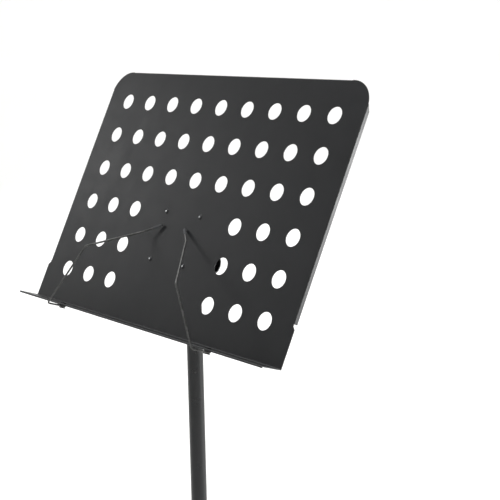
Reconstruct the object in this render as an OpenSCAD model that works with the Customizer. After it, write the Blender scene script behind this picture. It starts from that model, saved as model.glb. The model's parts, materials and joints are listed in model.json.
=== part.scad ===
// Orchestra music stand: a perforated sheet-metal desk on a tilting head, a telescopic mast in
// three tubes, and a folding tripod.
// +Z is up, the floor is z = 0, the desk faces -Y and +X is to the right of someone facing it.

/* [Desk] */
// Distance between the centres of neighbouring holes
hole_pitch = 50; // [48:0.5:52]
// Diameter of the holes in the desk
hole_d = 21.7; // [16:0.1:24]
// Rows of holes
hole_rows = 6; // [4:1:6]
// Full rows, counted from the top; the rows below leave the middle plain
full_rows = 3; // [2:1:4]
// Width of the desk between its side folds
desk_w = 490; // [480:1:510]
// Height of the desk along its slope, from the tray's bend to the top edge
desk_h = 341; // [336:1:350]
// Height of the lowest row of holes above the tray's bend
first_row_s = 46.5; // [40:0.5:56]
// Radius of the two top corners
corner_r = 32.5; // [20:0.5:45]
// Thickness of the sheet
sheet_t = 1; // [0.8:0.1:1.2]
// Depth of the stiffening folds behind the sides and the top
fold_depth = 6; // [4:0.5:9]
// Height of the plain bottom strip, which is wider than the folded part
strip_h = 49; // [40:1:52]
// How far the bottom strip stands out at each side
strip_extra = 3.5; // [2:0.5:5]
// Depth of the tray
tray_depth = 29.5; // [27:0.5:31]
// Angle by which the tray opens past a right angle to the desk
tray_droop = 7; // [3:1:10]
// Height of the tray's down-turned lip, the sheet included
lip_h = 2.2; // [1.5:0.1:2.3]

/* [Page arms] */
// Diameter of the spring wire
wire_d = 2.4; // [2:0.1:2.6]
// Distance of the arm's pivot from the middle of the desk
arm_pivot_x = 150; // [140:1:160]
// Distance of the pivot in front of the tray's bend
arm_pivot_n = 22; // [20:0.5:23]

/* [Tilting head] */
// Height of the tilt axis above the floor
pivot_z = 925; // [900:1:950]
// Lean of the desk, back from the vertical
desk_lean = 27.2; // [10:0.1:60]
// Distance from the tilt axis to the front face of the desk
pivot_to_face = 39; // [38:0.5:42]
// Height of the tilt axis above the tray's bend, along the slope
pivot_s = 103; // [101:0.5:104]
// Diameter of the head's barrel
barrel_d = 30; // [28:0.5:31]
// Length of the head's barrel
barrel_l = 24; // [22:0.5:26]
// Diameter of the tilt knob
tilt_knob_d = 34; // [30:0.5:36]
// Length of the tilt knob
tilt_knob_l = 23; // [20:0.5:26]

/* [Mast] */
// Outer diameter of the middle tube
mast_d = 21.2; // [20.8:0.1:21.4]
// Length of the middle tube
mast_l = 600; // [560:5:620]
// Outer diameter of the upper tube, which carries the head
stem_d = 16; // [15.5:0.1:16.4]
// Length of the upper tube
stem_l = 360; // [300:5:400]
// Outer diameter of the bottom tube
base_d = 25; // [25:0.1:26]
// Height of the bottom tube's upper end
base_top_z = 430; // [425:1:460]
// Wall of the tubes
tube_t = 1.2; // [1:0.1:1.3]
// Direction of the upper clamp knob, turned from +X towards +Y
upper_knob_turn = 22; // [0:1:60]
// Direction of the lower clamp knobs, turned from +X towards +Y
lower_knob_turn = 30; // [28:1:32]

/* [Tripod] */
// Angle of an open leg from the vertical
leg_angle = 60; // [58:0.5:62]
// Distance of the leg and brace pivots from the mast's axis
pin_radius = 26; // [26:0.5:28]
// Length of a leg from its pivot to its end
leg_l = 310; // [290:1:320]
// Distance between a brace's two pivots, and of the brace's rivet from the leg's pivot
brace_l = 135; // [125:1:140]
// Height of the leg's end, on its centre line, above the floor
leg_end_z = 12; // [11:0.5:14]

/* [Hidden] */

$fn = 48;
cut = 0.5;                 // how far a cutter runs past the face that it cuts
fit = 0.05;                // radial clearance of a pin or a screw in its hole
slide_gap = 0.3;           // clearance between faces that pass each other
mast_y = -72.46;           // the mast stands ahead of the middle of the footprint

powder = "#303234";
plastic = "#1e1f21";
steel = "#a8abae";
wire_black = "#3a3c3e";
rubber = "#242424";
brass = "#a8844a";

// Desk: s runs up the slope from the tray's bend, n runs forward from the front face
hole_columns = 9;
half_w = desk_w / 2;
wide_half = half_w + strip_extra;
fold_gap = 3;              // plain edge left at the end of a fold
fold_over = 4.5;           // the side folds run this far on into the corners, tapering off
fold_taper = 8;
strip_foot = 8;            // the tray's section runs up to here, and the punched sheet down to it
rivet_x = 33.4;
rivet_s = 118;             // middle of the four rivets
rivet_half_s = 32.5;
rivet_hole_r = 2.1;
bracket_t = 1.5;
bracket_half = 42;
bracket_corner_r = 8;
bracket_back = sheet_t + bracket_t;
tongue_t = 2;
tongue_half = 18;
tongue_front = bracket_back + slide_gap;
tongue_back = tongue_front + tongue_t;
screw_s = 127;             // the thumb screw, and the centre of the tongue's round top
rail_s = [122, 148];
rail_w = 6;
rail_lip = 2.8;
rail_lip_t = 1.6;
rail_root = 0.2;           // how far the rails sink into the bracket
rail_top = rail_root + slide_gap + tongue_t + slide_gap + rail_lip_t;

// Page arms
stud_r = 2;
eye_r = stud_r + fit + wire_d / 2;
arm_drop = lip_h + slide_gap + wire_d / 2;   // from the tray's upper face down to the wire
arm_front = 46;            // where the wire turns up, in front of the bend
hand_bend = 9;             // the two wires are bent by hand: the left knee is higher than the right
hand_sway = 7.2;           // and both tips lie a little to the left

// Head
disc_t = 0.8;              // friction disc
ear_in = barrel_l / 2 + 0.05 + disc_t + 0.15;
ear_t = 2.4;
ear_out = ear_in + ear_t;
ear_r = 17;
bolt_r = 3;
sleeve_r = 10.3;
sleeve_drop = 25;          // from the tilt axis down to the foot of the sleeve
stem_top_drop = 7;         // from the tilt axis down to the top of the stem
knob_start = ear_out + 1.4;
insert_r = 5;
insert_l = 12.5;
thumb_start = 19;          // depths behind the front face
thumb_l = 16;
thumb_r = 8;
nut_l = 4;

// Mast
stem_r = stem_d / 2;
groove_r = stem_r - 0.9;   // the groove for the set screw
mast_r = mast_d / 2;
base_r = base_d / 2;
collar_h = 16.5;
collar_top_z = pivot_z - sleeve_drop - slide_gap;
mast_top_z = collar_top_z - collar_h;
mast_bottom_z = mast_top_z - mast_l;
stem_top_z = pivot_z - stem_top_drop;
stem_bottom_z = stem_top_z - stem_l;
upper_screw_z = collar_top_z - collar_h / 2;
lower_collar_z = base_top_z - 34;
lower_screw_z = base_top_z - 17;
set_screw_z = pivot_z - 19;
boss_neck = 2.2;
knob_bore = 4;             // how far a clamp screw runs into the grip of its knob
upper_neck = 4.6;
lower_neck = 5;
boss_l = 17;
upper_knob_x = boss_l + boss_neck + 0.4;
lower_boss_l = 23;
lower_knob_x = lower_boss_l + boss_neck + 0.4;

// Tripod
leg_pin_z = leg_end_z + leg_l * cos(leg_angle);
hub_pin_z = leg_pin_z - 2 * brace_l * cos(leg_angle);
leg_turns = [90, 210, 330]; // the first leg points to the rear
pin_r = 2.5;
channel_w = 11.6;
channel_in = 8.6;
channel_half = 7;
channel_t = 1.5;
tongue_w = channel_in - 2 * slide_gap;
brace_t = 4;
brace_half = 5;
hub_slot = brace_t + 2 * slide_gap;
lug_t = 3.4;
lug_half = hub_slot / 2 + lug_t;
hub_bottom_z = hub_pin_z - 14;
spider_r = 18.5;
spider_half = 13;
pad_r = 12;
foot_r = pin_radius + leg_l * sin(leg_angle) - 4;

// ---------- helpers ----------

function arc(cx, cy, r, from, to, steps = 12) =
    [for (i = [0:steps]) let (a = from + (to - from) * i / steps) [cx + r * cos(a), cy + r * sin(a)]];

function round_rect(half_x, half_y, r) = concat(
    arc(half_x - r, half_y - r, r, 0, 90),
    arc(r - half_x, half_y - r, r, 90, 180),
    arc(r - half_x, r - half_y, r, 180, 270),
    arc(half_x - r, r - half_y, r, 270, 360));

module at_mast(z = 0) {
    translate([0, mast_y, z]) children();
}

// Desk frame: x, back from the front face, up the slope from the tray's bend
module in_desk() {
    at_mast(pivot_z) rotate([-desk_lean, 0, 0])
        translate([0, -pivot_to_face, -pivot_s]) children();
}

// Tray frame: -Y runs forward along the tray, z = 0 is the tray's upper face
module in_tray() {
    in_desk() rotate([tray_droop, 0, 0]) children();
}

// A plate in the desk frame from an outline in x and s, from depth y0 to depth y1
module desk_plate(y0, y1) {
    translate([0, y1, 0]) rotate([90, 0, 0]) linear_extrude(y1 - y0) children();
}

// A cylinder along +X from x0 to x1
module rod_x(r, x0, x1) {
    translate([x0, 0, 0]) rotate([0, 90, 0]) cylinder(r = r, h = x1 - x0);
}

// A cylinder along +Y from y0 to y1
module rod_y(r, y0, y1) {
    translate([0, y0, 0]) rotate([-90, 0, 0]) cylinder(r = r, h = y1 - y0);
}

module tube(r, wall, z0, z1) {
    translate([0, 0, z0]) difference() {
        cylinder(r = r, h = z1 - z0);
        translate([0, 0, -cut]) cylinder(r = r - wall, h = z1 - z0 + 2 * cut);
    }
}

// A straight wire between two points, with a ball at its far end
module wire(a, b) {
    d = b - a;
    turn = atan2(d[1], d[0]);
    lean = acos(d[2] / norm(d));
    translate(a) rotate([0, lean, turn]) cylinder(d = wire_d, h = norm(d), $fn = 20);
    translate(b) sphere(d = wire_d + 0.1, $fn = 20);
}

// A star knob along +X: neck from x0, five-lobed grip to x1
module star_knob(x0, neck, x1, r, neck_r) {
    lobe_r = 0.33 * r;
    rotate([0, 90, 0]) difference() {
        union() {
            translate([0, 0, x0]) cylinder(r = neck_r, h = neck + cut);
            translate([0, 0, x0 + neck]) linear_extrude(x1 - x0 - neck) {
                circle(r = 0.78 * r);
                for (i = [0:4]) rotate(72 * i) translate([r - lobe_r, 0]) circle(r = lobe_r);
            }
        }
        translate([0, 0, x1 - 0.22 * r]) cylinder(r = 0.56 * r, h = r);
        translate([0, 0, x0 - cut]) cylinder(r = bolt_r, h = neck + knob_bore + cut);
    }
}

module toward(turn, z) {
    at_mast(z) rotate([0, 0, turn]) children();
}

// Leg frame: the radial plane of leg i is the X-Z plane, from the mast's axis
module on_leg(i, r, z, tilt) {
    toward(leg_turns[i], 0) translate([r, 0, z]) rotate([0, tilt, 0]) children();
}

// ---------- desk ----------

module panel_outline() {
    top = arc(half_w - corner_r, desk_h - corner_r, corner_r, 0, 90);
    other = arc(corner_r - half_w, desk_h - corner_r, corner_r, 90, 180);
    difference() {
        polygon(concat(
            [[-wide_half, strip_foot], [wide_half, strip_foot]],
            [[wide_half, strip_h - strip_extra], [half_w, strip_h]],
            top, other,
            [[-half_w, strip_h], [-wide_half, strip_h - strip_extra]]));
        perforations();
        rivet_places() circle(r = rivet_hole_r);
    }
}

module perforations() {
    middle = (hole_columns - 1) / 2;
    for (row = [0:hole_rows - 1], column = [-middle:middle])
        if (row >= hole_rows - full_rows || abs(column) > 1)
            translate([column * hole_pitch, first_row_s + row * hole_pitch]) circle(d = hole_d);
}

module rivet_places() {
    for (x = [-rivet_x, rivet_x], s = [-rivet_half_s, rivet_half_s])
        translate([x, rivet_s + s]) children();
}

module desk_panel() color(powder) {
    fold_foot = strip_h + fold_gap;
    fold_head = desk_h - corner_r + fold_over;
    top_fold = desk_w - 2 * corner_r - 2 * fold_gap;
    in_desk() {
        desk_plate(0, sheet_t) panel_outline();
        for (side = [0, 1]) mirror([side, 0, 0])
            translate([half_w - sheet_t, 0, 0]) rotate([90, 0, 90]) linear_extrude(sheet_t)
                polygon([[0, fold_foot], [fold_depth, fold_foot], [fold_depth, fold_head - fold_taper],
                         [sheet_t + 1, fold_head], [0, fold_head]]);
        translate([-top_fold / 2, 0, desk_h - sheet_t]) cube([top_fold, fold_depth, sheet_t]);
    }
    difference() {
        in_desk() translate([-wide_half, 0, 0]) rotate([90, 0, 90])
            linear_extrude(2 * wide_half) tray_section();
        in_tray() for (x = [-arm_pivot_x, arm_pivot_x])
            translate([x, -arm_pivot_n, -lip_h]) cylinder(r = stud_r, h = 2 * lip_h);
    }
}

// The foot of the sheet, the tray and its lip, cut across: depth behind the face, height
module tray_section() {
    polygon([
        [0, strip_foot], [0, 0], from_tray(-tray_depth, 0), from_tray(-tray_depth, -lip_h),
        from_tray(sheet_t - tray_depth, -lip_h), from_tray(sheet_t - tray_depth, -sheet_t),
        [sheet_t, -sheet_t * (1 - sin(tray_droop)) / cos(tray_droop)], [sheet_t, strip_foot]]);
}

function from_tray(y, z) = [
    y * cos(tray_droop) - z * sin(tray_droop),
    y * sin(tray_droop) + z * cos(tray_droop)];

module panel_rivets() color(powder) in_desk() {
    for (x = [-rivet_x, rivet_x], s = [rivet_s - rivet_half_s, rivet_s + rivet_half_s])
        translate([x, 0, s]) rotate([90, 0, 0]) rotate_extrude()
            polygon([[0, 0.5], [1, 0.5], [1.1, 1.35], [2.2, 1.1], [3.2, 0.45], [3.3, 0],
                     [rivet_hole_r - 0.03, 0], [rivet_hole_r - 0.03, -bracket_back],
                     [2.9, -bracket_back], [2.9, -bracket_back - 1.6],
                     [1.9, -bracket_back - 2.6], [0, -bracket_back - 2.6]]);
}

module back_bracket() color(powder) in_desk() {
    desk_plate(sheet_t, bracket_back) difference() {
        translate([0, rivet_s]) polygon(round_rect(bracket_half, bracket_half, bracket_corner_r));
        rivet_places() circle(r = rivet_hole_r);
    }
    // Two rails that hook over the edges of the tongue
    for (side = [0, 1]) mirror([side, 0, 0])
        translate([tongue_half + slide_gap, bracket_back - rail_root, rail_s[0]])
            linear_extrude(rail_s[1] - rail_s[0]) polygon([
                [0, 0], [rail_w, 0], [rail_w, rail_top - 1.5], [rail_w - 1.5, rail_top],
                [-rail_lip, rail_top], [-rail_lip, rail_top - rail_lip_t], [0, rail_top - rail_lip_t]]);
}

// ---------- page arms ----------

// A desk point [x, n, s] in the tray frame
function tray_point(p) = [
    p[0],
    -(p[1] * cos(tray_droop) - p[2] * sin(tray_droop)),
    p[1] * sin(tray_droop) + p[2] * cos(tray_droop)];

// Knee, last bend and tip of a right-hand arm; the left-hand one is its mirror image
function arm_knee(hand) = tray_point([98, 55.5, 66 + hand * hand_bend]);
function arm_bend(hand) = tray_point([44.9 + 1.4 * hand * hand_sway, 10, 115.8]);
function arm_tip(hand) = tray_point([22.6 + hand * hand_sway, 2.6, 131.1]);
// The rubber sleeve starts here on the last straight
function arm_sleeve_start(hand) = arm_tip(hand) + 0.42 * (arm_bend(hand) - arm_tip(hand));

// Where the wire turns up
arm_heel = [arm_pivot_x, -arm_front, -arm_drop];

// The wire of an arm on the right; hand is -1 for the right arm's own bends, 1 for the left arm's
module arm_wire(hand) {
    pivot = [arm_pivot_x, -arm_pivot_n, -arm_drop];
    translate(pivot) rotate_extrude() translate([eye_r, 0]) circle(d = wire_d, $fn = 20);
    wire(pivot + [0, -eye_r, 0], arm_heel);
    wire(arm_heel, arm_knee(hand));
    wire(arm_knee(hand), arm_bend(hand));
    wire(arm_bend(hand), arm_sleeve_start(hand));
}

module arm_sleeve(hand) {
    d = arm_tip(hand) - arm_sleeve_start(hand);
    translate(arm_sleeve_start(hand) + 1.3 * d / norm(d))
        rotate([0, acos(d[2] / norm(d)), atan2(d[1], d[0])])
            cylinder(d = wire_d + 1, h = norm(d), $fn = 20);
}

module page_arm_right() color(wire_black) in_tray() arm_wire(-1);
module page_arm_left() color(wire_black) in_tray() mirror([1, 0, 0]) arm_wire(1);
module arm_tip_right() color(rubber) in_tray() arm_sleeve(-1);
module arm_tip_left() color(rubber) in_tray() mirror([1, 0, 0]) arm_sleeve(1);

module arm_studs() color(plastic) in_tray() {
    below = arm_drop + wire_d / 2 + 0.3;
    for (x = [-arm_pivot_x, arm_pivot_x]) translate([x, -arm_pivot_n, 0]) rotate_extrude()
        polygon([[0, -below - 1.2], [4.2, -below - 1.2], [4.2, -below], [stud_r, -below],
                 [stud_r, 0], [4, 0], [4, 0.8], [2.8, 1.6], [0, 1.6]]);
}

// ---------- tilting bracket ----------

module ear_outline() {
    difference() {
        union() {
            translate([pivot_to_face, pivot_s]) circle(r = ear_r);
            polygon([[tongue_front, pivot_s - 15], [tongue_front, pivot_s + 18],
                     [pivot_to_face, pivot_s + ear_r - 1], [pivot_to_face, pivot_s - ear_r + 1]]);
        }
        translate([pivot_to_face, pivot_s]) children();
    }
}

module ear(x0) {
    // The outline's axes are depth and slope
    translate([x0, 0, 0]) rotate([90, 0, 90]) linear_extrude(ear_t) children();
}

module tilt_bracket() color(powder) in_desk() {
    desk_plate(tongue_front, tongue_back) difference() {
        union() {
            translate([0, screw_s]) circle(r = tongue_half);
            translate([-tongue_half, pivot_s + 8]) square([2 * tongue_half, screw_s - pivot_s - 8]);
            translate([-ear_out, pivot_s - 15]) square([2 * ear_out, 30]);
        }
        translate([0, screw_s]) circle(r = bolt_r + fit);
    }
    ear(ear_in) ear_outline() circle(r = bolt_r + fit);
    ear(-ear_out) ear_outline() square(2 * bolt_r + 2 * fit, center = true);
}

module bracket_nut() color(plastic) in_desk() translate([0, 0, screw_s]) difference() {
    translate([0, tongue_back, 0]) rotate([-90, 0, 0]) cylinder(r = 5.8, h = nut_l, $fn = 6);
    rod_y(bolt_r + fit, 0, 20);
}

module at_pivot() {
    at_mast(pivot_z) rotate([-desk_lean, 0, 0]) children();
}

module tilt_bolt() color(steel) at_pivot() {
    neck = 2 * bolt_r;
    translate([-ear_out - 3.4, 0, 0]) rotate([0, 90, 0]) cylinder(r1 = 4, r2 = 7.5, h = 1.8);
    rod_x(7.5, -ear_out - 1.6, -ear_out);
    translate([-ear_out - cut, -neck / 2, -neck / 2]) cube([ear_t + cut, neck, neck]);
    rod_x(bolt_r, -ear_in - cut, knob_start + 12);
}

module tilt_washer() color(steel) at_pivot() difference() {
    rod_x(9.5, ear_out, ear_out + 1.2);
    rod_x(bolt_r + fit, 0, ear_out + 4);
}

module tilt_knob() color(plastic) at_pivot() {
    end = knob_start + tilt_knob_l;
    grip_r = tilt_knob_d / 2;
    difference() {
        union() {
            rod_x(grip_r, knob_start, knob_start + 1.6);
            rod_x(grip_r - 0.6, knob_start + 1, end);
        }
        rod_x(grip_r - 4, end - 9, end + cut);
        rod_x(insert_r, knob_start - cut, knob_start + insert_l);
        for (i = [0:7]) rotate([45 * i, 0, 0])
            translate([knob_start + 3.2, -1.5, grip_r - 1.4]) cube([tilt_knob_l - 6.4, 3, 4]);
    }
}

module knob_insert() color(brass) at_pivot() difference() {
    rod_x(insert_r, knob_start, knob_start + insert_l);
    rod_x(bolt_r + fit, knob_start - cut, knob_start + insert_l + cut);
}

module thumb_screw() color(brass) in_desk() translate([0, 0, screw_s])
    rod_y(bolt_r, tongue_front, thumb_start + 5);

module thumb_knob() color(plastic) in_desk() translate([0, 0, screw_s]) difference() {
    union() {
        rod_y(5, thumb_start - 1.5, thumb_start + 2);
        rod_y(thumb_r, thumb_start, thumb_start + thumb_l);
    }
    rod_y(bolt_r, thumb_start - 4, thumb_start + 5);
    rod_y(5.2, thumb_start + thumb_l - 8, thumb_start + thumb_l + cut);
}

// ---------- head ----------

module tee_head() color(plastic) at_mast(pivot_z) difference() {
    union() {
        rod_x(barrel_d / 2, -barrel_l / 2, barrel_l / 2);
        translate([0, 0, -sleeve_drop]) cylinder(r = sleeve_r, h = sleeve_drop);
        hull() {
            rod_x(barrel_d / 2 - 1.2, 2 - barrel_l / 2, barrel_l / 2 - 2);
            translate([0, 0, -19]) cylinder(r = sleeve_r - 0.2, h = 1, $fn = 32);
        }
    }
    rod_x(bolt_r + fit, -barrel_l, barrel_l);
    translate([0, 0, -sleeve_drop - cut])
        cylinder(r = stem_r + fit, h = sleeve_drop - stem_top_drop + cut);
    translate([0, 0, set_screw_z - pivot_z]) rotate([90, 0, 0]) cylinder(r = 2.5, h = 30);
}

module friction_discs() color("#4a4038") at_mast(pivot_z) for (side = [0, 1])
    mirror([side, 0, 0]) difference() {
        rod_x(14.5, barrel_l / 2 + 0.05, barrel_l / 2 + 0.05 + disc_t);
        rod_x(bolt_r + fit, 0, barrel_l);
    }

// A grub screw whose nose runs in the stem's groove, so that the head turns but can't lift off
module head_set_screw() color(steel) at_mast(set_screw_z) rotate([90, 0, 0]) {
    translate([0, 0, groove_r + slide_gap]) cylinder(r = 2.5, h = sleeve_r - groove_r - 0.6);
}

module stem_tube() color(powder) at_mast() difference() {
    tube(stem_r, 1.6, stem_bottom_z, stem_top_z);
    translate([0, 0, set_screw_z - 2.9]) difference() {
        cylinder(r = stem_r + cut, h = 5.8);
        translate([0, 0, -cut]) cylinder(r = groove_r, h = 5.8 + 2 * cut);
    }
}

module stem_guide() color(plastic) at_mast(stem_bottom_z) {
    translate([0, 0, -6]) cylinder(r = mast_r - tube_t - 0.1, h = 6);
    cylinder(r = stem_r - 1.6, h = 14);
}

// ---------- mast ----------

module mast_tube() color(powder) at_mast() tube(mast_r, tube_t, mast_bottom_z, mast_top_z);

module mast_guide() color(plastic) at_mast(mast_bottom_z) difference() {
    union() {
        translate([0, 0, -8]) cylinder(r = base_r - tube_t - 0.1, h = 8);
        cylinder(r = mast_r - tube_t, h = 14);
    }
    translate([0, 0, -8 - cut]) cylinder(r = 5, h = 24);
}

// A clamp block: a square boss with a round neck, along +X
module clamp_boss(len, w, h, neck_r, neck) {
    translate([0, -w / 2, -h / 2]) cube([len, w, h]);
    rod_x(neck_r, len - cut, len + neck);
}

module upper_collar() color(plastic) at_mast() difference() {
    union() {
        translate([0, 0, mast_top_z]) cylinder(r = mast_r + 0.2, h = collar_h);
        translate([0, 0, mast_top_z - 24]) cylinder(r = mast_r - tube_t, h = 24 + cut);
        translate([0, 0, upper_screw_z]) rotate([0, 0, upper_knob_turn])
            clamp_boss(boss_l, 15, collar_h - 0.6, 6.2, boss_neck);
    }
    translate([0, 0, mast_top_z - 30]) cylinder(r = stem_r + fit, h = 60);
    translate([0, 0, upper_screw_z]) rotate([0, 0, upper_knob_turn])
        rod_x(bolt_r + fit, 0, 40);
}

module upper_pad() color(brass) toward(upper_knob_turn, upper_screw_z)
    rod_x(bolt_r - 0.1, stem_r + slide_gap, stem_r + 1.7);

module upper_clamp_screw() color(steel) toward(upper_knob_turn, upper_screw_z)
    rod_x(bolt_r, stem_r + 1.9, upper_knob_x + upper_neck + knob_bore);

module upper_clamp_knob() color(plastic) toward(upper_knob_turn, upper_screw_z)
    star_knob(upper_knob_x, upper_neck, upper_knob_x + 14.4, 12.3, 5.6);

// ---------- bottom tube and its collar ----------

module base_tube() color(powder) at_mast() difference() {
    tube(base_r, tube_t, hub_bottom_z + 4, base_top_z);
    translate([0, 0, lower_screw_z]) rotate([0, 0, lower_knob_turn]) rod_x(bolt_r + 0.3, 0, 20);
}

module lower_collar() color(plastic) at_mast() difference() {
    union() {
        translate([0, 0, lower_collar_z]) cylinder(r = base_r + 3.6, h = base_top_z - lower_collar_z);
        translate([0, 0, lower_screw_z]) rotate([0, 0, lower_knob_turn])
            clamp_boss(lower_boss_l, 19, 24, 7.5, boss_neck);
    }
    translate([0, 0, lower_collar_z - cut]) cylinder(r = base_r, h = 60);
    translate([0, 0, lower_screw_z]) rotate([0, 0, lower_knob_turn]) rod_x(bolt_r + fit, 0, 40);
}

module lower_bush() color(plastic) at_mast() difference() {
    union() {
        translate([0, 0, base_top_z - 30]) cylinder(r = base_r - tube_t, h = 30 + cut);
        translate([0, 0, base_top_z]) cylinder(r = base_r + 2.6, h = 2.5);
    }
    translate([0, 0, base_top_z - 31]) cylinder(r = mast_r + fit, h = 40);
    translate([0, 0, lower_screw_z]) rotate([0, 0, lower_knob_turn]) rod_x(bolt_r + 0.1, 0, 20);
}

module lower_pad() color(brass) toward(lower_knob_turn, lower_screw_z)
    rod_x(bolt_r - 0.1, mast_r + slide_gap, mast_r + 1.7);

module lower_clamp_screw() color(steel) toward(lower_knob_turn, lower_screw_z)
    rod_x(bolt_r, mast_r + 1.9, lower_knob_x + lower_neck + knob_bore);

module lower_clamp_knob() color(plastic) toward(lower_knob_turn, lower_screw_z)
    star_knob(lower_knob_x, lower_neck, lower_knob_x + 18, 17, 7);

// ---------- tripod ----------

module leg_profile() {
    difference() {
        translate([-channel_half, -channel_w / 2]) square([2 * channel_half, channel_w]);
        translate([-channel_half - cut, -channel_in / 2])
            square([2 * channel_half - channel_t + cut, channel_in]);
    }
}

// Leg frame: the leg hangs along -Z from its pin and opens towards -X
module leg(i) color(powder) on_leg(i, pin_radius, leg_pin_z, -leg_angle) difference() {
    union() {
        translate([0, 0, -leg_l]) linear_extrude(leg_l) leg_profile();
        intersection() {
            linear_extrude(channel_half) leg_profile();
            rotate([90, 0, 0]) translate([0, 0, -channel_w])
                cylinder(r = channel_half, h = 2 * channel_w);
        }
    }
    for (z = [0, -brace_l]) translate([0, 0, z]) rod_y(pin_r + fit, -channel_w, channel_w);
}

module leg_rivet(i) color(steel) on_leg(i, pin_radius, leg_pin_z, -leg_angle)
    translate([0, 0, -brace_l]) {
        rod_y(pin_r, -channel_w / 2, channel_w / 2);
        for (side = [0, 1]) mirror([0, side, 0]) rod_y(4, channel_w / 2, channel_w / 2 + 1.4);
    }

// Brace frame: the brace stands along +Z from its pin in the hub
module brace(i) color(powder) on_leg(i, pin_radius, hub_pin_z, leg_angle) difference() {
    union() {
        translate([-brace_half, -brace_t / 2, 0]) cube([2 * brace_half, brace_t, brace_l]);
        rod_y(brace_half + 0.1, -brace_t / 2, brace_t / 2);
        translate([0, 0, brace_l]) rod_y(brace_half + 0.2, -tongue_w / 2, tongue_w / 2);
    }
    for (z = [0, brace_l]) translate([0, 0, z]) rod_y(pin_r + fit, -10, 10);
}

module foot(i) color(rubber) {
    toward(leg_turns[i], 0) difference() {
        union() {
            translate([foot_r, 0, 0]) cylinder(r = pad_r, h = 5);
            hull() {
                translate([foot_r, 0, 4]) cylinder(r = pad_r - 1, h = 2, $fn = 32);
                translate([pin_radius, 0, leg_pin_z]) rotate([0, -leg_angle, 0])
                    translate([-channel_half - 1.6, -channel_w / 2 - 2.2, -leg_l - 2.5])
                        cube([2 * channel_half + 3.8, channel_w + 4.4, 34]);
            }
        }
        translate([pin_radius, 0, leg_pin_z]) rotate([0, -leg_angle, 0])
            translate([-channel_half, -channel_w / 2, -leg_l]) cube([2 * channel_half, channel_w, 60]);
        translate([0, 0, -10]) cube([2000, 100, 20], center = true);
    }
}

module spider() color(plastic) at_mast(leg_pin_z) difference() {
    union() {
        translate([0, 0, -spider_half]) cylinder(r = spider_r, h = 2 * spider_half);
        for (turn = leg_turns) rotate([0, 0, turn]) {
            translate([base_r + 2, -tongue_w / 2, -4.4]) cube([pin_radius - base_r - 2, tongue_w, 8.8]);
            translate([pin_radius, 0, 0]) rod_y(4.4, -tongue_w / 2, tongue_w / 2);
        }
        rotate([0, 0, lower_knob_turn]) clamp_boss(lower_boss_l, 17, 20, 7.5, boss_neck);
    }
    translate([0, 0, -30]) cylinder(r = base_r + slide_gap, h = 60);
    for (turn = leg_turns) rotate([0, 0, turn]) translate([pin_radius, 0, 0]) rod_y(pin_r + fit, -20, 20);
    rotate([0, 0, lower_knob_turn]) rod_x(bolt_r + fit, 0, 40);
}

module tripod_pins(z, half) {
    for (i = [0:2]) on_leg(i, pin_radius, z, 0) {
        rod_y(pin_r, -half, half);
        for (side = [0, 1]) mirror([0, side, 0]) rod_y(4, half, half + 1.4);
    }
}

module spider_pins() color(steel) tripod_pins(leg_pin_z, channel_w / 2 + slide_gap);

module spider_clamp_screw() color(steel) toward(lower_knob_turn, leg_pin_z)
    rod_x(bolt_r, base_r + 0.35, lower_knob_x + lower_neck + knob_bore);

module spider_clamp_knob() color(plastic) toward(lower_knob_turn, leg_pin_z)
    star_knob(lower_knob_x, lower_neck, lower_knob_x + 18, 15, 7);

module bottom_hub() color(plastic) at_mast() difference() {
    union() {
        translate([0, 0, hub_bottom_z]) cylinder(r = base_r + 4.5, h = 28);
        for (turn = leg_turns) rotate([0, 0, turn]) {
            translate([base_r + 1, -lug_half, hub_pin_z - 6])
                cube([pin_radius - base_r - 1, 2 * lug_half, 12]);
            translate([pin_radius, 0, hub_pin_z]) rod_y(6, -lug_half, lug_half);
        }
    }
    translate([0, 0, hub_bottom_z + 4]) cylinder(r = base_r, h = 60);
    translate([0, 0, hub_bottom_z - cut]) cylinder(r = 8, h = 10);
    for (turn = leg_turns) rotate([0, 0, turn]) {
        translate([base_r + 4.5 + 0.6 - 3.2, -hub_slot / 2, hub_pin_z - 20]) cube([30, hub_slot, 60]);
        translate([pin_radius, 0, hub_pin_z]) rod_y(pin_r, -20, 20);
    }
}

module hub_pins() color(steel) tripod_pins(hub_pin_z, lug_half);

module hub_cap() color(plastic) at_mast(hub_bottom_z) {
    translate([0, 0, -2]) cylinder(r = 11, h = 2);
    cylinder(r = 8, h = 4);
    translate([0, 0, 4]) cylinder(r = base_r - tube_t, h = 10);
}

module leg_1() leg(0);
module leg_2() leg(1);
module leg_3() leg(2);
module foot_1() foot(0);
module foot_2() foot(1);
module foot_3() foot(2);
module brace_1() brace(0);
module brace_2() brace(1);
module brace_3() brace(2);
module leg_rivet_1() leg_rivet(0);
module leg_rivet_2() leg_rivet(1);
module leg_rivet_3() leg_rivet(2);

desk_panel();
panel_rivets();
back_bracket();
arm_studs();
page_arm_left();
page_arm_right();
arm_tip_left();
arm_tip_right();
tilt_bracket();
bracket_nut();
tilt_bolt();
tilt_washer();
tilt_knob();
knob_insert();
thumb_screw();
thumb_knob();
tee_head();
friction_discs();
head_set_screw();
stem_tube();
stem_guide();
mast_tube();
upper_collar();
upper_pad();
mast_guide();
upper_clamp_screw();
upper_clamp_knob();
base_tube();
lower_collar();
lower_bush();
lower_pad();
lower_clamp_screw();
lower_clamp_knob();
bottom_hub();
hub_pins();
hub_cap();
spider();
spider_pins();
spider_clamp_screw();
spider_clamp_knob();
leg_1();
leg_2();
leg_3();
foot_1();
foot_2();
foot_3();
brace_1();
brace_2();
brace_3();
leg_rivet_1();
leg_rivet_2();
leg_rivet_3();
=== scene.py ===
"""Orchestra music stand: the looks of its sheet metal, wire, knobs, castings, tubes and tripod."""

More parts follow.
